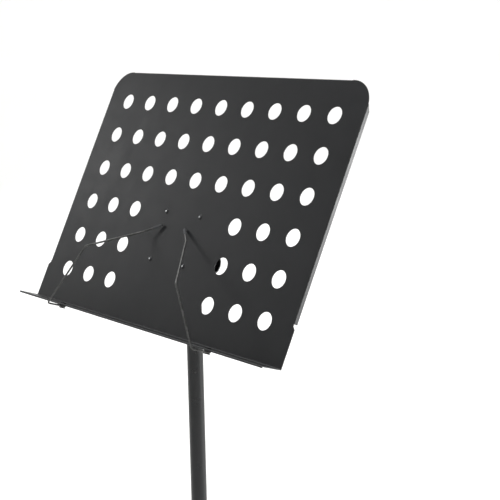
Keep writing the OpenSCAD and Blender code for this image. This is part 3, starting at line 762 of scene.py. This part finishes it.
class MUSICSTAND_OT_desk_panel(bpy.types.Operator):
    """Makes the punched sheet with its side and top folds, its tray and its lip"""

    bl_idname = "musicstand.desk_panel"
    bl_label = "Desk Panel"

    def execute(self, context):
        desk = sizes("musicstand_desk")
        outline = curve_of([(x, y, 0) for x, y in sheet_outline(desk)], closed=True)
        sheet = grown(outline, "punched", **vars(desk))
        bm = bmesh.new()
        bm.from_mesh(sheet.data)
        bpy.data.objects.remove(sheet)
        bmesh.ops.remove_doubles(bm, verts=bm.verts, dist=0.001)
        for v in bm.verts:
            v.co = Vector((v.co.x, 0, v.co.y))
        inner = desk.half_width - desk.bend
        for side in SIDES.values():
            level = side * inner
            edges = edges_at(bm, lambda p: abs(p.x - level) < NEAR and p.y == 0)
            fold_back(bm, edges, X * side, desk.bend, desk.fold, FOLD_TAPER)
        crest = desk.height - desk.bend
        edges = edges_at(bm, lambda p: abs(p.z - crest) < NEAR and p.y == 0)
        fold_back(bm, edges, UP, desk.bend, desk.fold)
        foot = edges_at(bm, lambda p: abs(p.z - FACE_FOOT) < NEAR and p.y == 0)
        corners = [(0, FACE_FOOT), (0, 0), tray_point(desk.tray, 0), tray_point(desk.tray, -desk.lip)]
        follow(bm, foot, filleted(corners, [0, FACE_BEND, LIP_BEND, 0])[1:])
        bmesh.ops.recalc_face_normals(bm, faces=bm.faces)
        front = next(f for f in bm.faces if f.calc_area() > 1 and abs(f.normal.y) > 0.99)
        if front.normal.y > 0:
            bmesh.ops.reverse_faces(bm, faces=bm.faces)
        obj = linked(to_mesh(bm, recalculate=False))
        wall = obj.modifiers.new("wall", "SOLIDIFY")
        wall.thickness = desk.sheet
        wall.offset = -1
        wall.use_even_offset = True
        piece("desk_sheet", break_edges(obj, 0.25, 50), "desk", "powder_coat", ["desk_panel"], DESK, 30)
        return {"FINISHED"}


RIVET_X = 33.4
RIVET_S = 118
RIVET_HALF_S = 32.5
SHEET_BACK = 1.0
BRACKET_BACK = 2.5
PLATE_HALF = 42
PLATE_CORNER = 8


class MUSICSTAND_OT_panel_rivets(bpy.types.Operator):
    """Makes the four blind rivets, each with the broken end of its pin in the middle"""

    bl_idname = "musicstand.panel_rivets"
    bl_label = "Panel Rivets"

    def execute(self, context):
        head = [(0, 0.35), (1.25, 0.35), (1.3, 0.7), (1.4, 1.0), (1.6, 1.1), (2.1, 1.0), (2.8, 0.7)]
        head += [(3.25, 0.3), (3.3, 0), (2.07, 0)]
        tail = [(2.07, 0), (2.75, 0.2), (2.9, 0.9), (2.6, 1.7), (1.7, 2.5), (0.8, 2.6), (0, 2.6)]
        head += [(r, -BRACKET_BACK - z) for r, z in tail]
        pin = filleted([(0, 0.2), (1.2, 0.2), (1.2, 1.8), (0, 1.85)], [0, 0, 0.9, 0])
        spots = [(x, 0, RIVET_S + s) for x in (-RIVET_X, RIVET_X) for s in (-RIVET_HALF_S, RIVET_HALF_S)]
        for name, profile, slot, replaced in (
            ("rivet_heads", head, "powder_coat", ["panel_rivets"]),
            ("rivet_pins", pin, "zinc_steel", []),
        ):
            places = bpy.data.meshes.new("places")
            places.from_pydata(spots, [], [])
            rivet = lathe(profile, segments=32)
            rivet.transform(Matrix.Rotation(pi / 2, 4, "X"))
            item = linked(rivet)
            rivets = grown(places, "scatter", item=item)
            bpy.data.objects.remove(item)
            piece(name, rivets, "desk", slot, replaced, DESK)
        return {"FINISHED"}


def round_square(half, r, height):
    """The outline of a square with round corners whose middle is at a height."""
    corners = [(half, half), (-half, half), (-half, -half), (half, -half)]
    return filleted([(x, height + y) for x, y in corners], r, closed=True, steps=8)


# Turns a prism made along z into one that runs back from the desk's face, its outline in x and height
FACE_ON = Matrix.Rotation(pi / 2, 4, "X") @ Matrix.Scale(-1, 4, (0, 0, 1))
# Turns it into one that runs along x, its outline in depth and height
SIDE_ON = Matrix(((0, 0, 1, 0), (1, 0, 0, 0), (0, 1, 0, 0), (0, 0, 0, 1)))
RAIL_FOOT = 122
RAIL_TOP = 148
TONGUE_HALF = 18
TONGUE_FRONT = 2.8
TONGUE_BACK = 4.8


class MUSICSTAND_OT_back_bracket(bpy.types.Operator):
    """Makes the plate behind the desk and the two rails that hook over the tongue"""

    bl_idname = "musicstand.back_bracket"
    bl_label = "Back Bracket"

    def execute(self, context):
        bm = bmesh.new()
        prism(bm, round_square(PLATE_HALF, PLATE_CORNER, RIVET_S), SHEET_BACK, BRACKET_BACK, matrix=FACE_ON)
        start = TONGUE_HALF + 0.3
        crown = BRACKET_BACK + 4.2
        hook = [(start, BRACKET_BACK - 0.2), (start + 6, BRACKET_BACK - 0.2), (start + 6, crown)]
        hook += [(start - 2.8, crown), (start - 2.8, crown - 1.6), (start, crown - 1.6)]
        outline = filleted(hook, [0, 0, 2.2, 0.7, 0.7, 0.2], closed=True, steps=6)
        for side in SIDES.values():
            prism(bm, [(side * x, y) for x, y in outline], RAIL_FOOT, RAIL_TOP, 0.5)
        piece("bracket_and_rails", to_mesh(bm), "desk", "powder_coat", ["back_bracket"], DESK)
        return {"FINISHED"}


# ---------- page arms ----------

STUD_N = 22
HEEL_N = 46
# Each arm is bent by hand: its knee, last bend and tip as x, distance in front of the face and height
HAND_BENDS = {
    "left": ((98, 55.5, 75), (54.9, 10, 115.8), (29.8, 2.6, 131.1)),
    "right": ((98, 55.5, 57), (34.9, 10, 115.8), (15.4, 2.6, 131.1)),
}
SLEEVE_SHARE = 0.42
# The wire's eye turns this many degrees round its stud, with a gap above and below it
EYE_TURN = 322
EYE_BORE = 2.05
EYE_GAP = 0.3


def in_tray_frame(x, n, s):
    """A point given as x, distance in front of the face and height, in the tray's frame."""
    return TRAY.inverted() @ DESK @ Vector((x, -n, s))


def arm_path(arms, bends, drop):
    """The wire's path for an arm on the right, in the tray's frame: round the stud, forward, up and back."""
    stud = Vector((arms.pivot_x, -STUD_N, -drop))
    heel = Vector((arms.pivot_x, -HEEL_N, -drop))
    reach = EYE_BORE + arms.wire / 2
    leave = degrees(acos(reach / (HEEL_N - STUD_N))) - 90
    eye = [stud + Vector((x, y, 0)) for x, y in arc(0, 0, reach, leave + EYE_TURN, leave, 24)]
    return eye + [heel] + [in_tray_frame(*point) for point in bends]


class MUSICSTAND_OT_page_arms(bpy.types.Operator):
    """Bends the two page arms out of spring wire and pulls a rubber sleeve over each tip"""

    bl_idname = "musicstand.page_arms"
    bl_label = "Page Arms"

    def execute(self, context):
        arms = sizes("musicstand_arms")
        drop = sizes("musicstand_desk").lip + EYE_GAP + arms.wire / 2
        for side, sign in SIDES.items():
            path = arm_path(arms, HAND_BENDS[side], drop)
            mirror = Matrix.Scale(sign, 4, X)
            wire = grown(curve_of([mirror @ p for p in path]), "wire", wire=arms.wire, bend=arms.bend)
            piece(f"arm_wire_{side}", wire, f"arm_{side}", "black_wire", [f"page_arm_{side}"], TRAY, 60)
            tip, bend = mirror @ path[-1], mirror @ path[-2]
            start = tip + (bend - tip) * SLEEVE_SHARE
            length = (tip - start).length
            r = arms.sleeve / 2
            tube = [(0, -0.4), (r, -0.4), (r + 0.1, length + 0.4), (0, length + 0.4)]
            sleeve = lathe(filleted(tube, [0, 0.6, 1.5, 0]), segments=24)
            run = about(TRAY @ start, TRAY @ tip - TRAY @ start, X)
            piece(f"arm_sleeve_{side}", sleeve, f"arm_{side}", "rubber", [f"arm_tip_{side}"], run)
        return {"FINISHED"}


class MUSICSTAND_OT_arm_studs(bpy.types.Operator):
    """Turns the two shouldered studs that the page arms swing on"""

    bl_idname = "musicstand.arm_studs"
    bl_label = "Arm Studs"

    def execute(self, context):
        arms = sizes("musicstand_arms")
        below = sizes("musicstand_desk").lip + 2 * EYE_GAP + arms.wire
        flange = [(0, -below - 1.2), (4.2, -below - 1.2), (4.2, -below), (2, -below), (2, 0), (4, 0)]
        outline = filleted(flange + [(3.6, 1.25), (0, 1.6)], [0, 0.4, 0.3, 0, 0, 0.15, 1.6, 0])
        bm = bmesh.new()
        for sign in SIDES.values():
            turned(bm, outline, segments=40, at=(sign * arms.pivot_x, -STUD_N))
        piece("stud_pair", to_mesh(bm), "desk", "black_nut", ["arm_studs"], TRAY)
        return {"FINISHED"}


# ---------- tilting head ----------

PIVOT_DEPTH = 39
PIVOT_S = 103
EAR_OUT = 15.4
EAR_R = 17
EAR_SHEET = 2.2
EAR_FOOT = PIVOT_S - 15
EAR_HEAD = PIVOT_S + 15
KNOB_START = EAR_OUT + 1.4
# A plain pad and the ribs between two of them each take this share of a sector
PAD_SHARE = 0.42
RIBS = 4


class MUSICSTAND_OT_tilt_bracket(bpy.types.Operator):
    """Folds the tilting bracket: a round-topped tongue and two ears round the barrel"""

    bl_idname = "musicstand.tilt_bracket"
    bl_label = "Tilt Bracket"

    def execute(self, context):
        bm = bmesh.new()
        dome = arc(0, SCREW_RISE, TONGUE_HALF, 0, 180, 24)
        shoulder = EAR_HEAD - 2
        tongue = [(-EAR_OUT + 1, EAR_FOOT), (EAR_OUT - 1, EAR_FOOT), (EAR_OUT - 1, shoulder - 4)]
        tongue += [(TONGUE_HALF, shoulder)] + dome + [(-TONGUE_HALF, shoulder), (-EAR_OUT + 1, shoulder - 4)]
        prism(bm, tongue, TONGUE_FRONT, TONGUE_BACK, matrix=FACE_ON)
        rim = arc(PIVOT_DEPTH, PIVOT_S, EAR_R, 100, -100, 30)
        ear = [(TONGUE_FRONT, EAR_FOOT), (PIVOT_DEPTH - 15, PIVOT_S - EAR_R + 2)] + rim[::-1]
        ear += [(PIVOT_DEPTH - 15, PIVOT_S + EAR_R - 2), (TONGUE_FRONT, EAR_HEAD)]
        ear = filleted(ear, [2.4] + [6] + [0] * len(rim) + [6, 2.4], closed=True)
        for sign in SIDES.values():
            low, high = sorted((sign * (EAR_OUT - EAR_SHEET), sign * EAR_OUT))
            prism(bm, ear, low, high, matrix=SIDE_ON)
        piece("bracket_sheet", to_mesh(bm), "tilt_bracket", "powder_coat", ["tilt_bracket"], DESK)
        return {"FINISHED"}


def sector_block(bm, r0, r1, z0, z1, centre, span, edge):
    """A block bent round the z axis, its angles in degrees."""
    steps = max(2, ceil(span / 4))
    outer = arc(0, 0, r1, centre - span / 2, centre + span / 2, steps)
    inner = arc(0, 0, r0, centre + span / 2, centre - span / 2, steps)
    prism(bm, outer + inner, z0, z1, edge)


class MUSICSTAND_OT_tilt_knob(bpy.types.Operator):
    """Makes the tilt knob: a flanged and dished barrel with plain and ribbed pads by turns"""

    bl_idname = "musicstand.tilt_knob"
    bl_label = "Tilt Knob"

    def execute(self, context):
        head = sizes("musicstand_head")
        r = head.knob / 2
        base = KNOB_START
        end = base + head.knob_length
        section = [(5, base), (r, base), (r, base + 1.7), (r - 1.7, base + 2.2), (r - 1.7, end - 1.4)]
        section += [(r - 2.6, end), (r - 4, end), (r - 4.3, end - 1.4), (r - 5.2, end - 8), (4, end - 8.6)]
        section += [(3, end - 8.2), (PIN_HOLE, end - 8.2), (PIN_HOLE, end - 9.5), (5, end - 9.5)]
        rounding = [0.2, 0.6, 0.5, 0.5, 1.2, 0.8, 0.6, 0.6, 1.4, 0.5, 0.5, 0, 0, 0]
        barrel = lathe(filleted(section, rounding, closed=True), True, 96)
        piece("tilt_knob_barrel", barrel, "tilt_knob", "knob_plastic", ["tilt_knob"], PIVOT)
        step = 360 / head.sectors
        pad = step * PAD_SHARE
        spread = pad / RIBS
        low, high = base + 3.4, end - 2.6
        item = bmesh.new()
        sector_block(item, r - 2.2, r - 0.35, low, high, 0, pad, 0.35)
        for k in range(RIBS):
            place = step / 2 + (k - (RIBS - 1) / 2) * spread
            sector_block(item, r - 2.2, r - 0.75, low, high, place, spread * 0.55, 0.25)
        pads = grown(to_mesh(item), "round_row", count=head.sectors)
        piece("tilt_knob_pads", pads, "tilt_knob", "knob_plastic", [], PIVOT)
        return {"FINISHED"}


THUMB_START = 19
THUMB_LENGTH = 16
# Half the bore of the nut and the washer, and half the nut's width across its flats
BORE = 3.05
NUT_FLAT = 5.0


class MUSICSTAND_OT_thumb_screw(bpy.types.Operator):
    """Makes the brass thumb screw with its thread and its knurled black head"""

    bl_idname = "musicstand.thumb_screw"
    bl_label = "Thumb Screw"

    def execute(self, context):
        head = sizes("musicstand_head")
        screw = about(DESK @ Vector((0, 0, SCREW_RISE)), BACK)
        r = head.thumb / 2
        start, end = THUMB_START, THUMB_START + THUMB_LENGTH
        shank = filleted([(0, 3.0), (2.45, 3.0), (2.45, start + 4), (0, start + 4)], [0, 0.5, 0.3, 0])
        rod, pitch = lathe(shank, segments=32), head.thread_pitch
        thread = grown(rod, "thread", radius=2.98, pitch=pitch, length=start - 4.6, start=3.6)
        piece("thumb_shank", thread, "thumb_screw", "brass", ["thumb_screw"], screw, 50)
        core = r - 0.45
        section = [(2.6, start - 1.5), (5, start - 1.5), (5, start), (core, start), (core, end), (5.6, end)]
        section += [(5.2, end - 7.6), (PIN_HOLE, end - 7.6), (PIN_HOLE, end - 9), (2.6, end - 9)]
        rounding = [0, 0.5, 0.3, 1.0, 1.2, 0.6, 0.5, 0, 0, 0]
        body = lathe(filleted(section, rounding, closed=True), True, 80)
        piece("thumb_head", body, "thumb_screw", "knob_plastic", ["thumb_knob"], screw)
        ridge = bmesh.new()
        half = 2 * pi * core / head.knurls * 0.36
        tooth = [(core - 0.4, -half), (core + 0.25, -half), (r, 0), (core + 0.25, half), (core - 0.4, half)]
        prism(ridge, tooth, start + 1.2, end - 1.5, 0.12)
        knurl = grown(to_mesh(ridge), "round_row", count=head.knurls)
        piece("thumb_knurl", knurl, "thumb_screw", "knob_plastic", [], screw, 25)
        return {"FINISHED"}


class MUSICSTAND_OT_head_hardware(bpy.types.Operator):
    """Makes the moulded head, the hexagon nut, the bolt's domed end and the washer"""

    bl_idname = "musicstand.head_hardware"
    bl_label = "Head And Hardware"

    def execute(self, context):
        piece("head_casting", moulded("tee_head", 0.5, 7), "head", "moulded_nylon", ["tee_head"])

        def hexagon(angle, r):
            flat = NUT_FLAT / cos((angle + pi / 6) % (pi / 3) - pi / 6)
            return min(r, flat) if r > BORE else r

        corner = NUT_FLAT + 0.9
        ring = [(BORE, 4.8), (NUT_FLAT, 4.8), (corner, 5.4), (corner, 8.2), (NUT_FLAT, 8.8), (BORE, 8.8)]
        screw = about(DESK @ Vector((0, 0, SCREW_RISE)), BACK)
        nut = lathe(ring, True, 72, hexagon)
        piece("hexagon_nut", nut, "tilt_bracket", "black_nut", ["bracket_nut"], screw, 25)
        tail = KNOB_START + 12
        dome = [(0, 3.4), (2.5, 3.25), (5, 2.5), (6.9, 1.2), (7.5, 0.4), (7.4, 0), (2.95, 0)]
        profile = [(r, -EAR_OUT - z) for r, z in dome] + [(2.95, tail - 0.6), (2.4, tail), (0, tail)]
        bolt = lathe(profile, segments=48)
        piece("carriage_bolt", bolt, "tilt_bracket", "zinc_steel", ["tilt_bolt"], PIVOT)
        ring = [(BORE, EAR_OUT), (9.5, EAR_OUT), (9.5, EAR_OUT + 1.2), (BORE, EAR_OUT + 1.2)]
        washer = lathe(filleted(ring, 0.25, closed=True), True)
        piece("washer", washer, "tilt_bracket", "zinc_steel", ["tilt_washer"], PIVOT)
        return {"FINISHED"}


# ---------- mast, collars and clamp knobs ----------

# tube: (body, wall)
TUBES = {"stem_tube": ("stem", 1.6), "mast_tube": ("mast", 1.2), "base_tube": ("root", 1.2)}


class MUSICSTAND_OT_tubes(bpy.types.Operator):
    """Draws the three tubes of the mast, with deburred ends"""

    bl_idname = "musicstand.tubes"
    bl_label = "Tubes"

    def execute(self, context):
        for node, (body, wall) in TUBES.items():
            low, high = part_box(node)
            r = (high.x - low.x) / 2 / MM
            z0, z1 = low.z / MM, high.z / MM
            section = filleted([(r - wall, z0), (r, z0), (r, z1), (r - wall, z1)], 0.4, closed=True, steps=3)
            tube = lathe(section, True, 72)
            piece(node.replace("_tube", "_drawn"), tube, body, "tube_enamel", [node], MAST)
        return {"FINISHED"}


# node: (body, voxel, smoothing passes)
MOULDINGS = {
    "upper_collar": ("mast", 0.45, 4),
    "lower_collar": ("root", 0.6, 4),
    "lower_bush": ("root", 0.5, 3),
    "spider": ("spider", 0.6, 4),
    "bottom_hub": ("root", 0.6, 4),
    "hub_cap": ("root", 0.6, 4),
}


class MUSICSTAND_OT_mouldings(bpy.types.Operator):
    """Gives the collars, the bush, the runner and the hub the soft edges of mouldings"""

    bl_idname = "musicstand.mouldings"
    bl_label = "Mouldings"

    def execute(self, context):
        for node, (body, voxel, passes) in MOULDINGS.items():
            shape = moulded(node, voxel, passes)
            piece(f"{node}_moulding", shape, body, "moulded_nylon", [node], angle=60)
        return {"FINISHED"}


# clamp: (start, neck length, whole length, radius, neck radius)
CLAMP_KNOBS = {
    "upper_clamp": (19.6, 4.6, 14.4, 12.3, 5.6),
    "lower_clamp": (25.6, 5, 18, 17, 7),
    "spider_clamp": (25.6, 5, 18, 15, 7),
}
LOBES = 5
LOBE_DEPTH = 0.2
LOBE_WIDTH = 1.7


class MUSICSTAND_OT_clamp_knobs(bpy.types.Operator):
    """Makes the three star knobs: five lobes, a dished face and a domed middle"""

    bl_idname = "musicstand.clamp_knobs"
    bl_label = "Clamp Knobs"

    def execute(self, context):
        for name, (start, neck, length, r, neck_r) in CLAMP_KNOBS.items():

            def star(angle, radius):
                weight = min(max((radius - neck_r) / (r * 0.86 - neck_r), 0), 1)
                valley = ((1 - cos(LOBES * angle)) / 2) ** LOBE_WIDTH
                return radius * (1 - LOBE_DEPTH * weight * valley)

            grip, end = start + neck, start + length
            section = [(3.1, start), (neck_r, start), (neck_r, grip), (r, grip), (r, end), (0.62 * r, end)]
            section += [(0.5 * r, end - 0.14 * r), (0.36 * r, end - 0.13 * r), (0.2 * r, end - 0.02 * r)]
            section += [(PIN_HOLE, end), (PIN_HOLE, grip + 4), (3.1, grip + 4)]
            rounding = [0.2, 0.5, 1.0, 0.15 * r, 0.2 * r, 0.08 * r, 0.1 * r, 0.1 * r, 0.15 * r, 0, 0, 0]
            knob = lathe(filleted(section, rounding, closed=True), True, 120, star)
            place = knob_frame(f"{name}_turn")
            piece(f"{name}_star", knob, name, "knob_plastic", [f"{name}_knob"], place, 40)
        return {"FINISHED"}


# ---------- tripod ----------

# node: (body, the joint at whose height the pins lie, half the length between their heads)
PIN_SETS = {"hub_pins": ("root", "brace_1_fold", 9.0), "spider_pins": ("spider", "spider_hinge", 7.5)}
RIVET_HALF = 5.8


def headed_pin(half):
    """A pin with a domed head at each end."""
    dome = [(0, 1.4), (2.2, 1.288), (3.6, 0.7), (4, 0.15), (3.9, 0), (2.5, 0)]
    profile = [(r, -half - z) for r, z in dome] + [(r, half + z) for r, z in reversed(dome)]
    return lathe(profile, segments=36)


class MUSICSTAND_OT_tripod(bpy.types.Operator):
    """Presses the legs and braces, and sets their pins and rivets"""

    bl_idname = "musicstand.tripod"
    bl_label = "Tripod"

    def execute(self, context):
        for i in LEGS:
            piece(f"leg_{i}_channel", softened(f"leg_{i}"), f"leg_{i}", "leg_enamel", [f"leg_{i}"])
            piece(f"brace_{i}_bar", softened(f"brace_{i}"), f"brace_{i}", "leg_enamel", [f"brace_{i}"])
            pin = about(joint_pos(f"leg_{i}_fold"), joint_axis(f"brace_{i}_fold"))
            piece(f"leg_{i}_rivet", headed_pin(RIVET_HALF), f"leg_{i}", "zinc_steel", [f"leg_rivet_{i}"], pin)
        hub = joint_pos("brace_1_fold") - MAST_FOOT
        for node, (body, joint, half) in PIN_SETS.items():
            spot = Vector((hub.x, hub.y, joint_pos(joint).z))
            item = headed_pin(half)
            item.transform(Matrix.Scale(1 / MM, 4) @ about(spot, joint_axis("brace_1_fold")))
            pins = grown(item, "round_row", count=len(LEGS))
            piece(node.replace("_", "_set_"), pins, body, "zinc_steel", [node], MAST)
        return {"FINISHED"}


class MUSICSTAND_OT_feet(bpy.types.Operator):
    """Moulds the three rubber feet"""

    bl_idname = "musicstand.feet"
    bl_label = "Feet"

    def execute(self, context):
        for i in LEGS:
            shape = moulded(f"foot_{i}", 0.7, 14)
            piece(f"foot_{i}_boot", shape, f"leg_{i}", "rubber", [f"foot_{i}"], angle=60)
        return {"FINISHED"}


class MUSICSTAND_OT_kept_hardware(bpy.types.Operator):
    """Paints the screws, pads, inserts and guides that keep their frame shape"""

    bl_idname = "musicstand.kept_hardware"
    bl_label = "Kept Hardware"

    def execute(self, context):
        for entry in frame["record"]["subparts"]:
            obj = frame["nodes"][entry["node"]]
            if not obj.hide_render:
                paint(obj, entry["material_slot"])
        return {"FINISHED"}


# ---------- stage ----------

CAMERA_FROM_MAST = (1.0824, -0.8752, 1.2188)
CAMERA_HEADING = 48.0
CAMERA_PITCH = -12.13
CAMERA_ROLL = -0.97
CAMERA_LENS = 79.65
CAMERA_RISE = 0.024
CAMERA_NEAR = 0.05
SKY_STRENGTH = 0.32
COVE_RADIUS = 7.5
COVE_BEND = 1.5
COVE_HEIGHT = 3.4
COVE_TURNS = [2 * pi * i / 96 for i in range(96)]
LIGHTS = {
    # name: (place, aim, size, watts)
    "key": ((-2.9, -1.3, 2.25), (0, 0, 0.95), 0.8, 5),
    "edge": ((2.2, 1.7, 0.8), (0.1, 0, 1.05), 0.6, 48),
    "ceiling_behind": ((-2.5, 2.5, 4.5), (-3, 3, 0), 7, 350),
    "ceiling_ahead": ((3, -3, 4.5), (4, -4, 0), 6, 170),
}


class MUSICSTAND_OT_stage(bpy.types.Operator):
    """Sets the pale floor and backdrop, the soft lights and the camera"""

    bl_idname = "musicstand.stage"
    bl_label = "Stage"

    def execute(self, context):
        wall = arc(COVE_RADIUS, COVE_BEND, COVE_BEND, -90, 0, 12) + [(COVE_RADIUS + COVE_BEND, COVE_HEIGHT)]
        rings = [[(r * cos(a), r * sin(a), z) for a in COVE_TURNS] for r, z in wall]
        bm = loft(bmesh.new(), rings, caps=(True, False))
        floor = linked(to_mesh(bm))
        smooth(floor.data)
        floor.name = "floor"
        paint(floor, "paper")
        context.scene.view_settings.view_transform = "Standard"
        world = bpy.data.worlds.new("studio")
        context.scene.world = world
        world.use_nodes = True
        sky = world.node_tree.nodes["Background"]
        sky.inputs["Color"].default_value = (*linear("#ffffff"), 1)
        sky.inputs["Strength"].default_value = SKY_STRENGTH
        for name, (place, aim, width, watts) in LIGHTS.items():
            data = bpy.data.lights.new(name, "AREA")
            data.shape = "DISK"
            data.size = width
            data.energy = watts
            lamp = bpy.data.objects.new(name, data)
            context.scene.collection.objects.link(lamp)
            lamp.location = place
            lamp.rotation_euler = (Vector(aim) - Vector(place)).to_track_quat("-Z", "Y").to_euler()
        data = bpy.data.cameras.new("camera")
        data.lens = CAMERA_LENS
        data.shift_y = CAMERA_RISE
        data.clip_start = CAMERA_NEAR
        camera = bpy.data.objects.new("camera", data)
        context.scene.collection.objects.link(camera)
        turn = Matrix.Rotation(radians(CAMERA_HEADING), 4, "Z")
        turn @= Matrix.Rotation(radians(90 + CAMERA_PITCH), 4, "X")
        turn @= Matrix.Rotation(radians(CAMERA_ROLL), 4, "Z")
        camera.matrix_world = Matrix.Translation(MAST_FOOT + Vector(CAMERA_FROM_MAST)) @ turn
        context.scene.camera = camera
        return {"FINISHED"}


# ---------- add-on ----------

STEPS = (
    MUSICSTAND_OT_stage,
    MUSICSTAND_OT_desk_panel,
    MUSICSTAND_OT_panel_rivets,
    MUSICSTAND_OT_back_bracket,
    MUSICSTAND_OT_page_arms,
    MUSICSTAND_OT_arm_studs,
    MUSICSTAND_OT_tilt_bracket,
    MUSICSTAND_OT_tilt_knob,
    MUSICSTAND_OT_thumb_screw,
    MUSICSTAND_OT_head_hardware,
    MUSICSTAND_OT_tubes,
    MUSICSTAND_OT_mouldings,
    MUSICSTAND_OT_clamp_knobs,
    MUSICSTAND_OT_tripod,
    MUSICSTAND_OT_feet,
    MUSICSTAND_OT_kept_hardware,
)


class MUSICSTAND_PT_panel(bpy.types.Panel):
    """Lists the steps that build the stand"""

    bl_idname = "MUSICSTAND_PT_panel"
    bl_label = "Music Stand"
    bl_space_type = "VIEW_3D"
    bl_region_type = "UI"
    bl_category = "Music Stand"

    def draw(self, context):
        for step in STEPS:
            self.layout.operator(step.bl_idname)
        for name, group in SETTINGS.items():
            column = self.layout.column()
            for label in group.__annotations__:
                column.prop(getattr(context.scene, name), label)


CLASSES = (*SETTINGS.values(), *STEPS, MUSICSTAND_PT_panel)


def register():
    for cls in CLASSES:
        bpy.utils.register_class(cls)
    for name, group in SETTINGS.items():
        setattr(bpy.types.Scene, name, PointerProperty(type=group))


def unregister():
    for name in SETTINGS:
        delattr(bpy.types.Scene, name)
    for cls in reversed(CLASSES):
        bpy.utils.unregister_class(cls)


def main():
    register()
    for step in STEPS:
        area, name = step.bl_idname.split(".")
        getattr(getattr(bpy.ops, area), name)()


if __name__ == "__main__":
    main()
